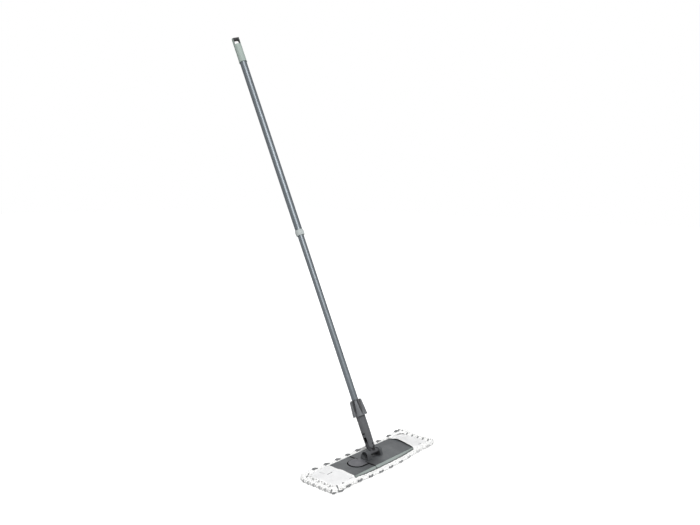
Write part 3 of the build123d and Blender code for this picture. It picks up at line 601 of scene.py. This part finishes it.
# Threads that cross at a pitch, a little slack, with broad unevenness in their tone.
cloth_weave, into, out = new_group(
    "cloth_weave", [("Vector", "Vector"), ("Thread pitch", "Float", 0.0012)], HEIGHT_AND_TONE,
)
tree, place = cloth_weave, into["Vector"]
wobble = node(tree, "ShaderNodeTexNoise", Vector=place, Scale=160, Detail=2)
slack = vector_calc(tree, "SCALE", wobble.outputs["Color"], Scale=0.0009)
warp, weft = parts_of(tree, vector_calc(tree, "ADD", place, slack))[:2]
rate = calc(tree, "DIVIDE", 2 * pi, into["Thread pitch"])
waves = [calc(tree, "SINE", calc(tree, "MULTIPLY", thread, rate)) for thread in (warp, weft)]
height = ramp(tree, calc(tree, "MULTIPLY", *waves), -1, 1)
toned = calc(tree, "MULTIPLY_ADD", height, 0.45, clouds(tree, place, 45, 3))
feed(tree, out, Height=height, Tone=ramp(tree, toned, 0.35, 1))


def woven(name, tones, pitch, rough, relief, sheen):
    """Cloth woven at a thread pitch."""
    finish, tree, shader = new_finish(name)
    weave = node(tree, "ShaderNodeGroup", here(tree), pitch, node_tree=cloth_weave).outputs
    rough_at = ramp(tree, weave["Tone"], 0, 1, *rough)
    colour = mixed(tree, weave["Tone"], *tones)
    clad(tree, shader, colour, rough_at, weave["Height"], relief, gloss=0.2, sheen=(sheen, 0.5))
    return finish


cloth_finish = woven("pocket_cloth", CLOTH_TONES, 0.0012, (0.95, 0.85), relief=0.0003, sheen=0.15)
outline = half_outline(BACKING_HALF, BACKING_CORNER)[END_POINTS:-END_POINTS]
low, high = BACKING_LEVELS
shares = [1 - 2 * step / BACKING_STEPS for step in range(BACKING_STEPS + 1)]
points = []
for x, y in outline:
    points += [(x, y * share, low) for share in shares]
    points += [(x, y * share, high) for share in reversed(shares)]
faces = capped(0, len(outline), 2 * len(shares))
backing = new_piece("backing", points, faces, cloth_finish)
bend_at_fold(backing)
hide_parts("pad_base")


# Pockets. Two panels of pale knitted cloth sewn to the rim of the backing, one over each end
# of the plates. Each has a white folded hem at its mouth, sewn down with a row of stitches.
POCKET_ENDS = (("left", -1, "flap"), ("right", 1, "head"))
PLATE_END = 0.206
PLATE_HALF = 0.04725
PLATE_CORNER = 0.014
PLATE_TOP = 0.016
PLATE_FALL_FROM = 0.136
PLATE_FALL = 0.005
POCKET_OUT = 0.0062
POCKET_CLEAR = 0.0009
POCKET_EDGE = 0.0006
POCKET_FOOT = 0.0102
POCKET_FLANK = 1.5
POCKET_CLOTH = 0.0009
POCKET_ROWS, POCKET_COLUMNS = 40, 56
CREASE_HIGH = 0.0009
CREASE_INSET = 0.012
CREASE_SEED = {"left": 4, "right": 9}
CREASE_WAVES = ((55, 30), (-22, 48))
FINE_WAVES = (150, 120)
FINE_SHARE = 0.3
CREASE_FULL = 0.25
HEM_WIDTH = 0.0075
HEM_THICK = 0.0017
HEM_SIDES = 10
HEM_SQUARE = (0.45, 0.6)
HEM_SUNK = 0.0002
HEM_ACROSS = 0.997
HEM_LAP = 0.001
HEM_TONES = ((0.82, 0.822, 0.82), (0.9, 0.9, 0.895))
MOUTHS = {
    "left": (
        (-53.5, 138.5), (-48.7, 137.8), (-24, 136.5), (-1.3, 134.1), (15.3, 138), (42.3, 134.7),
        (53.5, 135.5),
    ),
    "right": (
        (-53.5, 131), (-47.2, 130.7), (-24.1, 135.2), (0.1, 143.2), (25.3, 148.5), (43.4, 139),
        (53.5, 136.5),
    ),
}
MOUTH_SOFT = np.linspace(-0.006, 0.006, 7)
MOUTH_LIFTS = {
    "left": ((-47, 0), (0, 0.7), (47, 0)),
    "right": ((-53.5, 0.2), (-47, 1.2), (-35, 2.6), (0, 3.4), (20, 3), (33, 1.2), (47, 0.3)),
}
MOUTH_LIFT_REACH = 0.016
seam_y = PLATE_HALF + POCKET_OUT
seam_turn = PLATE_CORNER + POCKET_OUT


def grid(rows, wide):
    """Faces between rows of points that follow one another."""
    corners = [row * wide + k for row in range(rows - 1) for k in range(wide - 1)]
    return [(a, a + 1, a + wide + 1, a + wide) for a in corners]


def off_plate(x, y):
    """How far a point is outside the outline of the plates' end; negative inside it."""
    dx = x - (PLATE_END - PLATE_CORNER)
    dy = abs(y) - (PLATE_HALF - PLATE_CORNER)
    outside = hypot(max(dx, 0), max(dy, 0))
    return outside + min(max(dx, dy), 0) - PLATE_CORNER


def mouth_line(name, y):
    """Where the mouth of a pocket lies at a place across the pad."""
    ys, xs = np.array(MOUTHS[name]).T / 1000
    return np.mean(np.interp(np.clip(y + MOUTH_SOFT, ys[0], ys[-1]), ys, xs))


def pocket_height(name, x, y):
    """Height of the pocket's inner face: on the plate, then down to the seam beside it."""
    top = PLATE_TOP - PLATE_FALL * max(x - PLATE_FALL_FROM, 0) / (PLATE_END - PLATE_FALL_FROM)
    off = off_plate(x, y)
    inside = min(max(-off / CREASE_INSET, 0), 1)
    slanted = [x * by_x + y * by_y for by_x, by_y in CREASE_WAVES]
    crease = noise.noise(Vector((*slanted, CREASE_SEED[name])))
    fine = noise.noise(Vector((x * FINE_WAVES[0], y * FINE_WAVES[1], 2)))
    top += POCKET_CLEAR + inside * CREASE_HIGH * max(crease + CREASE_FULL + FINE_SHARE * fine, 0)
    away = max(x - mouth_line(name, y), 0)
    ys, lifts = np.array(MOUTH_LIFTS[name]).T / 1000
    top += np.interp(y, ys, lifts) * exp(-away / MOUTH_LIFT_REACH)
    drop = min(max((off - POCKET_EDGE) / (POCKET_OUT - POCKET_EDGE), 0), 1)
    return top + (POCKET_FOOT - top) * (1 - (1 - drop) ** POCKET_FLANK)


def pocket_end(y):
    """Where the pocket is sewn to the backing at its end."""
    past = max(abs(y) - (seam_y - seam_turn), 0)
    return PLATE_END - PLATE_CORNER + sqrt(max(seam_turn**2 - past**2, 0))


hem_finish = woven("white_hem", HEM_TONES, 0.0008, (0.92, 0.8), relief=0.0002, sheen=0)
columns = [-seam_y * cos(pi * k / POCKET_COLUMNS) for k in range(POCKET_COLUMNS + 1)]
pockets, hems = {}, {}
for name, side, body in POCKET_ENDS:
    points = []
    for y in columns:
        start, stop = mouth_line(name, y) + HEM_LAP, pocket_end(y)
        for row in range(POCKET_ROWS + 1):
            x = start + (stop - start) * sin(pi / 2 * row / POCKET_ROWS)
            points.append((side * x, y, pocket_height(name, x, y)))
    faces = [face[::-side] for face in grid(len(columns), POCKET_ROWS + 1)]
    pocket = new_piece(name + "_pocket_cloth", points, faces, cloth_finish)
    if sum(polygon.normal.z for polygon in pocket.data.polygons) < 0:
        pocket.data.flip_normals()
    wall = pocket.modifiers.new("wall", "SOLIDIFY")
    wall.thickness = POCKET_CLOTH
    wall.offset = 1
    points = []
    for y in columns:
        y *= HEM_ACROSS
        start = mouth_line(name, y)
        for turn in circle(HEM_SIDES):
            wide, high = [copysign(abs(part) ** square, part) for part, square in zip(turn, HEM_SQUARE)]
            x = start + HEM_WIDTH / 2 * (1 + wide)
            z = pocket_height(name, max(x, start), y) + HEM_THICK / 2 * (1 + high) - HEM_SUNK
            points.append((side * x, y, z))
    hem = new_piece(name + "_hem", points, capped(0, len(columns), HEM_SIDES), hem_finish)
    for piece in (pocket, hem):
        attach(piece, body)
    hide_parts(name + "_pocket")
    pockets[name], hems[name] = pocket, hem


# Stitching. A row of white lockstitch along each hem, a row round the sewn rim of each pocket,
# and short grey bar tacks where the pocket and the pile are caught together.
STITCH_PITCH = 0.0034
STITCH_LONG = 0.0027
STITCH_THICK = 0.00045
STITCH_DIP = 0.0004
STITCH_FLUSH = 0.7
STITCH_BLUNT = 0.12
STITCH_STEPS, STITCH_SIDES = 4, 6
STITCH_PROUD = 0.0001
STITCH_LEAN = 9
HEM_SEWN = 0.985
HEM_ROW = 0.72
HEM_LINE, RIM_LINE, FLANK_LINE = 90, 160, 30
RIM_ROW = 0.0022
FLANK_FROM = 0.146
TACK_PITCH = 0.0012
TACK_SIZE = (1, 1.5, 1.2)
TACKS = {
    "left": ((168.5, 12, 0, 20, 1.0), (179, 30, 80, 17, 0.45), (152, -48.5, 0, 12, 0.5)),
    "right": ((171, -45.5, 0, 16, 0.9),),
}
UPRIGHT = (0, 0, 1)


def stitch():
    """One stitch along X: a short rounded bar that dips in at both ends."""
    points = []
    for step in range(STITCH_STEPS + 1):
        share = step / STITCH_STEPS
        bulge = sin(pi * (STITCH_BLUNT + (1 - 2 * STITCH_BLUNT) * share))
        thick, dip = STITCH_THICK * bulge, STITCH_DIP * (bulge - STITCH_FLUSH)
        points += [(STITCH_LONG * (share - 0.5), thick * y, thick * z + dip) for y, z in circle(STITCH_SIDES)]
    faces = capped(0, STITCH_STEPS + 1, STITCH_SIDES)
    return strand("stitch", points, faces, STITCH_SIDES, STITCH_STEPS)


def along_line(line, pitch):
    """Places at an even pitch along a line of points, each with its direction."""
    line = np.array(line)
    runs = np.linalg.norm(np.diff(line, axis=0), axis=1)
    reach = np.concatenate([[0], np.cumsum(runs)])
    places = []
    for at in np.arange(pitch / 2, reach[-1], pitch):
        k = min(int(np.searchsorted(reach, at)) - 1, len(runs) - 1)
        way = (line[k + 1] - line[k]) / runs[k]
        places.append((line[k] + way * (at - reach[k]), way))
    return places


thread_finish = spun("sewing_thread", turns=2, relief=0.00008)
thread = stitch()
values = {"Loop": thread, "Loop size": 1.0, "Unevenness": 0.05, "Seed": 5, "Yarn": thread_finish}
rim_y = seam_y - RIM_ROW
for name, side, body in POCKET_ENDS:
    line = []
    for y in np.linspace(-seam_y * HEM_SEWN, seam_y * HEM_SEWN, HEM_LINE):
        x = mouth_line(name, y) + HEM_WIDTH * HEM_ROW
        line.append((side * x, y, pocket_height(name, x, y) + HEM_THICK + STITCH_PROUD))
    spots = [(spot, way, UPRIGHT, FULL_SIZE, 0.0) for spot, way in along_line(line, STITCH_PITCH)]
    line = []
    for bow in np.linspace(0, pi, RIM_LINE):
        y = -cos(bow) * rim_y
        x = pocket_end(y * seam_y / rim_y) - RIM_ROW
        line.append((side * x, y, pocket_height(name, x, y) + POCKET_CLOTH + STITCH_PROUD))
    flank = []
    for x in np.linspace(FLANK_FROM, line[0][0] * side, FLANK_LINE):
        flank.append((side * x, -rim_y, pocket_height(name, x, rim_y) + POCKET_CLOTH))
    back = [(x, -y, z) for x, y, z in reversed(flank)]
    for spot, way in along_line(flank[:-1] + line + back[1:], STITCH_PITCH):
        spots.append((spot, way, (0, spot[1] * STITCH_LEAN, 1), FULL_SIZE, 0.0))
    for x, y, turn, long, tint in TACKS[name]:
        bow = radians(turn)
        way = (side * -sin(bow), cos(bow), 0)
        for at in np.arange(-long / 2000, long / 2000, TACK_PITCH):
            tack_x, tack_y = x / 1000 + at * cos(bow), y / 1000 + at * sin(bow)
            height = pocket_height(name, tack_x, tack_y) + POCKET_CLOTH + STITCH_PROUD
            spots.append(((side * tack_x, tack_y, height), way, UPRIGHT, TACK_SIZE, tint))
    sewn = set_out(name + "_stitching", loops, spots, values)
    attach(sewn, body)
bpy.data.objects.remove(thread)


# Plates, pedal and joint. Injection-moulded in dark grey polypropylene with a fine spark-eroded
# grain on the outside. Near-black painted shade lies in the groove round the pedal, in the split,
# under the barrel and inside the fork, and soft painted shadows lie on the plate about the joint.
HEAD_TONES = ((0.075, 0.079, 0.083), (0.095, 0.101, 0.106))
PEDAL_TONES = ((0.096, 0.097, 0.106), (0.12, 0.122, 0.132))
HUB_TONES = ((0.056, 0.057, 0.061), (0.072, 0.074, 0.079))
# Near-black: the colour of all painted shade on the head, the neck and the nut.
SHADE_BLACK = (0.012, 0.012, 0.013)
PEDAL_CENTRE = -0.071
GROOVE_INNER = (0.022, 0.0228)
GROOVE_OUTER = (0.0264, 0.027)
GROOVE_RIGHT = (-0.0462, -0.0452)
GROOVE_TOP = (0.0172, 0.0178)
SPLIT_HALF = (0.0038, 0.0044)
# Painted shadows on the plate, each (centre, full to, none beyond, strength): in front of the joint, on the
# right ear, under the barrel.
PLATE_SHADOWS = (
    ((-0.028, -0.024, 0.016), 0.014, 0.038, 0.4),
    ((0.018, -0.003, 0.019), 0.006, 0.017, 0.88),
    ((0, 0.001, 0.016), 0.005, 0.014, 0.8),
)
# Painted shadow at the foot of the fork, between the tines and the barrel.
FORK_SHADOW = ((0.004, -0.0015, 0.0405), 0.007, 0.01, 0.92)
# Heights over which the barrel's painted shade fades out upwards.
BARREL_SHADE = (0.027, 0.0304)
LEAN = radians(26.1)
AXLE_HEIGHT = 0.0276
TONGUE_FROM = (0.0058, 0.007)
TONGUE_FACE = (0.0046, 0.0049)
TONGUE_SIDE = (-0.006, -0.001)

# The grain of the mould, with broad patches of tone and places rubbed smooth.
moulded_grain, into, out = new_group(
    "moulded_grain",
    [("Vector", "Vector"), ("Grain size", "Float", 0.0007), ("Patch size", "Float", 0.05)],
    HEIGHT_AND_TONE + [("Rub", "Float")],
)
tree, place = moulded_grain, into["Vector"]
grain = clouds(tree, place, calc(tree, "DIVIDE", 1, into["Grain size"]), 2, 0.6)
patch = clouds(tree, place, calc(tree, "DIVIDE", 1, into["Patch size"]), 4, 0.55)
blotch = ramp(tree, calc(tree, "MULTIPLY_ADD", grain, 0.25, patch), 0.4, 0.85)
rub = ramp(tree, clouds(tree, place, 38, 5, 0.7), 0.56, 0.74)
feed(tree, out, Height=grain, Tone=blotch, Rub=rub)


def moulded(name, tones, rough=(0.62, 0.5), rubbed_to=0.42, relief=0.00008, gloss=0.16):
    """A moulded plastic: grained, a little uneven in tone, smoother where it is rubbed."""
    finish, tree, shader = new_finish(name)
    grain = node(tree, "ShaderNodeGroup", here(tree), node_tree=moulded_grain).outputs
    rough_at = ramp(tree, grain["Tone"], 0, 1, *rough)
    worn = ramp(tree, grain["Rub"], 0, 1, rough_at, rubbed_to)
    clad(tree, shader, mixed(tree, grain["Tone"], *tones), worn, grain["Height"], relief, gloss)
    return finish


def coat(finish, *names):
    """Puts a finish on the CAD pieces with these names."""
    for name in names:
        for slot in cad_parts[name].material_slots:
            slot.material = finish


def most(tree, first, *others):
    """The strongest of several masks."""
    for other in others:
        first = calc(tree, "MAXIMUM", first, other)
    return first


def meet(tree, first, *others):
    """Where several masks meet."""
    for other in others:
        first = calc(tree, "MULTIPLY", first, other)
    return first


def with_painted_shade(finish, colour, *masks):
    """Painted shade laid on a finish wherever the masks, made from the piece's own place, say."""
    tree = finish.node_tree
    shader = tree.nodes["Principled BSDF"]
    shown = shader.inputs["Base Color"].links[0].from_socket
    for mask in masks:
        shown = mixed(tree, mask(tree, here(tree)), shown, colour)
    feed(tree, shader, Base_Color=shown)
    return finish


def painted_shadow(centre, full, none, strength):
    """A mask of painted shadow that thins out round one place."""
    def mask(tree, place):
        return ramp(tree, vector_calc(tree, "DISTANCE", place, centre), full, none, strength, 0)
    return mask


def reach_of(tree, x, y):
    """How far a place is from an upright line."""
    return vector_calc(tree, "LENGTH", node(tree, "ShaderNodeCombineXYZ", x, y).outputs[0])


def shade_in_grooves(tree, place):
    """Painted shade in the groove round the pedal and in the split between the plates."""
    x, y, z = parts_of(tree, place)
    reach = reach_of(tree, calc(tree, "MINIMUM", calc(tree, "SUBTRACT", x, PEDAL_CENTRE), 0), y)
    groove = meet(tree, ramp(tree, reach, *GROOVE_INNER), ramp(tree, reach, *GROOVE_OUTER, 1, 0))
    groove = meet(tree, groove, ramp(tree, x, *GROOVE_RIGHT, 1, 0))
    from_split = calc(tree, "ABSOLUTE", calc(tree, "SUBTRACT", x, FOLD_LINE))
    either = most(tree, groove, ramp(tree, from_split, *SPLIT_HALF, 1, 0))
    return meet(tree, either, ramp(tree, z, *GROOVE_TOP, 1, 0))


def from_axle(tree, place):
    """The place with its Z along the handle, from the axle, and X and Y across it."""
    shift = (0, AXLE_HEIGHT * sin(LEAN), -AXLE_HEIGHT * cos(LEAN))
    return node(tree, "ShaderNodeMapping", place, shift, (LEAN, 0, 0)).outputs[0]


def shade_under_joint(tree, place):
    """Painted shade under the joint's barrel, on its tongue's faces in the fork, and at the fork's foot."""
    under = ramp(tree, parts_of(tree, place)[2], *BARREL_SHADE, 0.9, 0)
    x, y, z = parts_of(tree, from_axle(tree, place))
    face = meet(tree, ramp(tree, calc(tree, "ABSOLUTE", y), *TONGUE_FACE), ramp(tree, x, *TONGUE_SIDE))
    tongue = meet(tree, face, ramp(tree, z, *TONGUE_FROM, 0, 0.9))
    return most(tree, under, tongue, painted_shadow(*FORK_SHADOW)(tree, place))


plate_shade = [*(painted_shadow(*spot) for spot in PLATE_SHADOWS), shade_in_grooves]
coat(with_painted_shade(moulded("head_plastic", HEAD_TONES), SHADE_BLACK, *plate_shade), "main_plate", "left_flap")
coat(with_painted_shade(moulded("pedal_plastic", PEDAL_TONES), SHADE_BLACK, *plate_shade), "pedal")
coat(with_painted_shade(moulded("hub_plastic", HUB_TONES), SHADE_BLACK, shade_under_joint), "joint_hub")


# Edge strips. Soft pale sage plastic moulded on along the long sides of both plates, which
# spares furniture and skirting boards. Painted shade darkens the lower edge, towards the pad.
STRIP_TONES = ((0.245, 0.281, 0.267), (0.297, 0.335, 0.32))
# Painted shade on the strip's lower edge.
STRIP_SHADE = (0.105, 0.112, 0.112)
SHADE_BAND = (0.0112, 0.0124)
SHADE_RAGGED = 0.0016


def shade_near_pad(tree, place):
    """The lower edge of a strip, with a ragged border: where painted shade lies."""
    smear = clouds(tree, place, 120, 3)
    edge = calc(tree, "MULTIPLY_ADD", smear, SHADE_RAGGED, parts_of(tree, place)[2])
    return ramp(tree, edge, *SHADE_BAND, 1, 0)


strip_finish = moulded("strip_plastic", STRIP_TONES, rough=(0.68, 0.55), rubbed_to=0.5)
coat(with_painted_shade(strip_finish, STRIP_SHADE, shade_near_pad), "main_edge_strips", "flap_edge_strips")


# Pins and spring. Drawn steel wire and rod, cut to length and pressed in, the two pins of the
# joint blacked. The spring under the pedal is wound from wire and shortens as the pedal goes down.
STEEL_TONES = ((0.46, 0.46, 0.47), (0.62, 0.62, 0.63))
BLACKED_TONES = ((0.035, 0.035, 0.038), (0.06, 0.06, 0.064))
STREAKS = (60, 900, 900)
SPRING_CENTRE = -0.0822
SPRING_RADIUS = 0.0045
SPRING_WIRE = 0.0004
SPRING_TURNS = 3.0


def drawn(name, tones):
    """Steel drawn along X, with fine streaks."""
    finish, tree, shader = new_finish(name)
    streaks = node(tree, "ShaderNodeMapping", here(tree), Scale=STREAKS).outputs[0]
    fine = clouds(tree, streaks, 1, 3)
    rough = ramp(tree, fine, 0.3, 0.7, 0.24, 0.4)
    feed(tree, shader, Base_Color=mixed(tree, fine, *tones), Roughness=rough, Metallic=1)
    return finish


steel_finish = drawn("drawn_steel", STEEL_TONES)
coat(steel_finish, "hinge_pins", "pedal_pin")
coat(drawn("blacked_steel", BLACKED_TONES), "axle_pin", "cross_pin")

# A round wire wound in even turns about an upright line.
spring, into, out = new_group(
    "wound_spring",
    [
        SHAPE, ("Coil radius", "Float"), ("Wire radius", "Float"),
        ("Height", "Float"), ("Turns", "Float"), ("Foot", "Vector"), ("Steel", "Material"),
    ],
    [SHAPE],
    "GeometryNodeTree",
)
coil = node(
    spring, "GeometryNodeCurveSpiral", Resolution=36, Rotations=into["Turns"],
    Start_Radius=into["Coil radius"], End_Radius=into["Coil radius"], Height=into["Height"],
).outputs[0]
wire = node(spring, "GeometryNodeCurvePrimitiveCircle", Resolution=10, Radius=into["Wire radius"])
wound = node(
    spring, "GeometryNodeCurveToMesh",
    Curve=coil, Profile_Curve=wire.outputs[0], Fill_Caps=True,
).outputs[0]
stood = node(spring, "GeometryNodeTransform", Geometry=wound, Translation=into["Foot"]).outputs[0]
grown_from(spring, stood, into["Steel"], out)

spring_low, spring_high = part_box("pedal_spring")
values = {
    "Coil radius": SPRING_RADIUS, "Wire radius": SPRING_WIRE, "Turns": SPRING_TURNS, "Steel": steel_finish,
    "Height": spring_high[2] - spring_low[2] - 2 * SPRING_WIRE,
    "Foot": (SPRING_CENTRE, 0.0, spring_low[2] + SPRING_WIRE),
}
origin = ((0, 0, 0), (1, 0, 0), UPRIGHT, FULL_SIZE, 0.0)
pedal_coil = set_out("pedal_coil", spring, [origin], values)
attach(pedal_coil, "flap")
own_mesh(pedal_coil)
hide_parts("pedal_spring")


# Neck and clamp nut. The same dark plastic, with a coarser grain on the lobes of the nut, which
# screws down over the socket to hold the lower tube. Painted shade darkens the fork and the flutes.
NECK_TONES = ((0.08, 0.082, 0.087), (0.105, 0.108, 0.114))
NUT_TONES = ((0.09, 0.093, 0.099), (0.128, 0.133, 0.142))
FORK_SPAN = (0.0236, 0.06)
FORK_SKIN = (0.0126, 0.0135)
FORK_DEPTH = (0.0003, 0.0009)
FORK_SLOT_HALF = (0.0055, 0.0059)
FORK_SLOT_TOP = (0.0585, 0.059)
NUT_SPAN = (0.1072, 0.1539)
NUT_CREST = (0.022, 0.0184)
# Depths under the lobes' crests over which the flutes' painted shade grows.
FLUTE_SHADE = (0.0007, 0.0026)


def below_skin(tree, x, y, z, span, skin):
    """How deep a place is below the outside of a turned piece."""
    return calc(tree, "SUBTRACT", ramp(tree, z, *span, *skin), reach_of(tree, x, y))


def shade_in_fork_slot(tree, place):
    """Painted shade on the walls of the slot, in the pockets of the neck's fork and at its foot."""
    x, y, z = parts_of(tree, from_axle(tree, place))
    deep = ramp(tree, below_skin(tree, x, y, z, FORK_SPAN, FORK_SKIN), *FORK_DEPTH)
    between = ramp(tree, calc(tree, "ABSOLUTE", y), *FORK_SLOT_HALF, 1, 0)
    slot = meet(tree, deep, between, ramp(tree, z, *FORK_SLOT_TOP, 1, 0))
    return most(tree, slot, painted_shadow(*FORK_SHADOW)(tree, place))


def shade_in_flutes(tree, place):
    """Painted shade on the floors of the flutes between the nut's lobes."""
    parts = parts_of(tree, from_axle(tree, place))
    return ramp(tree, below_skin(tree, *parts, NUT_SPAN, NUT_CREST), *FLUTE_SHADE, 0, 0.85)


nut_finish = moulded("nut_plastic", NUT_TONES, (0.52, 0.4), 0.34, relief=0.00014, gloss=0.3)
coat(with_painted_shade(moulded("neck_plastic", NECK_TONES), SHADE_BLACK, shade_in_fork_slot), "neck")
coat(with_painted_shade(nut_finish, SHADE_BLACK, shade_in_flutes), "clamp_nut")


# Tubes. Welded steel tube, powder-coated in a satin blue grey. The coat is slightly orange-
# peeled, and it is polished in long streaks where the tubes slide and are held.
TUBE_TONES = ((0.108, 0.121, 0.132), (0.138, 0.154, 0.167))
TUBE_EDGE = (0.22, 0.23, 0.25)
TUBE_STREAKS = (420, 420, 6)
tube_finish, tree, shader = new_finish("tube_paint")
upright = from_axle(tree, here(tree))
streak = clouds(tree, vector_calc(tree, "MULTIPLY", upright, TUBE_STREAKS), 1, 3)
peel = clouds(tree, upright, 900, 1)
handled = clouds(tree, upright, 9, 4)
tone = ramp(tree, calc(tree, "MULTIPLY_ADD", streak, 0.5, handled), 0.45, 1.05)
rough = ramp(tree, tone, 0, 1, 0.46, 0.38)
clad(tree, shader, mixed(tree, tone, *TUBE_TONES), rough, peel, relief=0.00001, gloss=0.3)
feed(tree, shader, Metallic=0.7, Specular_Tint=TUBE_EDGE)
coat(tube_finish, "lower_tube", "upper_tube")


# Twist lock. A plug pressed in the lower tube, with a cone that a thread draws up into a slit
# sleeve. All three are plain natural nylon inside the tubes.
LOCK_TONES = ((0.27, 0.27, 0.265), (0.34, 0.34, 0.33))
lock_finish = moulded("lock_nylon", LOCK_TONES, rough=(0.45, 0.35), rubbed_to=0.3)
coat(lock_finish, "lock_plug", "lock_sleeve", "lock_cone")


# Collar and end cap. Pale plastic pressed on the ends of the upper tube: a barrel-shaped
# collar where the lower tube goes in, and a long sage cap to hold at the top.
COLLAR_TONES = ((0.33, 0.36, 0.357), (0.39, 0.42, 0.416))
CAP_TONES = ((0.252, 0.3, 0.278), (0.302, 0.35, 0.328))
coat(moulded("collar_plastic", COLLAR_TONES, rough=(0.52, 0.42), rubbed_to=0.36), "tube_collar")
coat(moulded("cap_plastic", CAP_TONES), "end_cap")


# Hanger insert. A near-black plastic bridge snapped across the slot in the head of the cap,
# which closes the eye that hangs on a hook.
INSERT_TONES = ((0.018, 0.018, 0.019), (0.032, 0.032, 0.033))
coat(moulded("insert_plastic", INSERT_TONES, rough=(0.55, 0.45), rubbed_to=0.4), "hanger_insert")


# Studio. A plain pale floor, white to the camera and lit so that a faint shadow stays; a large
# soft lamp in front above, a weaker one from behind, and an even fill from all round.
FLOOR_HALF = 14
FLOOR_DROP = -0.0002
FLOOR_PALE = 0.72
FLOOR_GLOW = (0.56, 0.86)
GLOW_REACH = (0.4, 2.2)
FILL = 0.28


def seen_directly(tree):
    """1 for what the camera sees, straight, reflected or through glass."""
    path = node(tree, "ShaderNodeLightPath").outputs
    return most(tree, path["Is Camera Ray"], path["Is Glossy Ray"], path["Is Transmission Ray"])


def lamp(name, place, aim, size, power):
    """A square soft lamp aimed at a point."""
    light = bpy.data.lights.new(name, "AREA")
    light.shape = "SQUARE"
    light.size = size
    light.energy = power
    made = stand(name, light)
    made.location = place
    made.rotation_euler = (Vector(aim) - Vector(place)).to_track_quat("-Z", "Y").to_euler()


floor_finish, tree, shader = new_finish("pale_floor")
tree.nodes.remove(shader)
pale = node(tree, "ShaderNodeBsdfDiffuse", [FLOOR_PALE] * 3).outputs[0]
glow_at = ramp(tree, vector_calc(tree, "LENGTH", here(tree)), *GLOW_REACH, *FLOOR_GLOW)
glow_seen = meet(tree, seen_directly(tree), glow_at)
glow = node(tree, "ShaderNodeEmission", Strength=glow_seen).outputs[0]
lit = node(tree, "ShaderNodeAddShader", pale, glow).outputs[0]
feed(tree, tree.nodes["Material Output"], Surface=lit)
corners = [(x * FLOOR_HALF, y * FLOOR_HALF, FLOOR_DROP) for x, y in ((-1, -1), (1, -1), (1, 1), (-1, 1))]
new_piece("floor", corners, [(0, 1, 2, 3)], floor_finish)

world = bpy.data.worlds.new("studio")
scene.world = world
world.use_nodes = True
tree = world.node_tree
level = ramp(tree, seen_directly(tree), 0, 1, FILL, 1)
feed(tree, tree.nodes["Background"], Color=(1, 1, 1), Strength=level)

lamp("key", (-2.42, -2.6, 4.1), (0, 0.25, 0.5), size=2.2, power=285)
lamp("front", (0.8, -3.4, 1.4), (0, 0.1, 0.3), size=1.6, power=12)
lamp("rim", (2.3, 2.8, 2.8), (0, 0.2, 0.4), size=2, power=40)


# Camera. At the photograph's place, a little above the joint and from the front left, with the
# photograph's frame.
AZIMUTH, ELEVATION, ROLL = radians(-49.88), radians(6.58), radians(1.06)
EYE = (-0.0635, 0.5677, 1.94)
FOCAL, IMAGE_WIDE = 680, 700
turned = Euler((pi / 2 - ELEVATION, 0, AZIMUTH)).to_matrix() @ Matrix.Rotation(ROLL, 3, "Z")
lens = bpy.data.cameras.new("camera")
lens.sensor_fit = "HORIZONTAL"
lens.lens = lens.sensor_width * FOCAL / IMAGE_WIDE
lens.clip_start, lens.clip_end = 0.01, 100
camera = stand("camera", lens)
camera.matrix_world = Matrix.LocRotScale(turned @ Vector(EYE), turned, None)
scene.camera = camera
scene.view_settings.view_transform = "Standard"
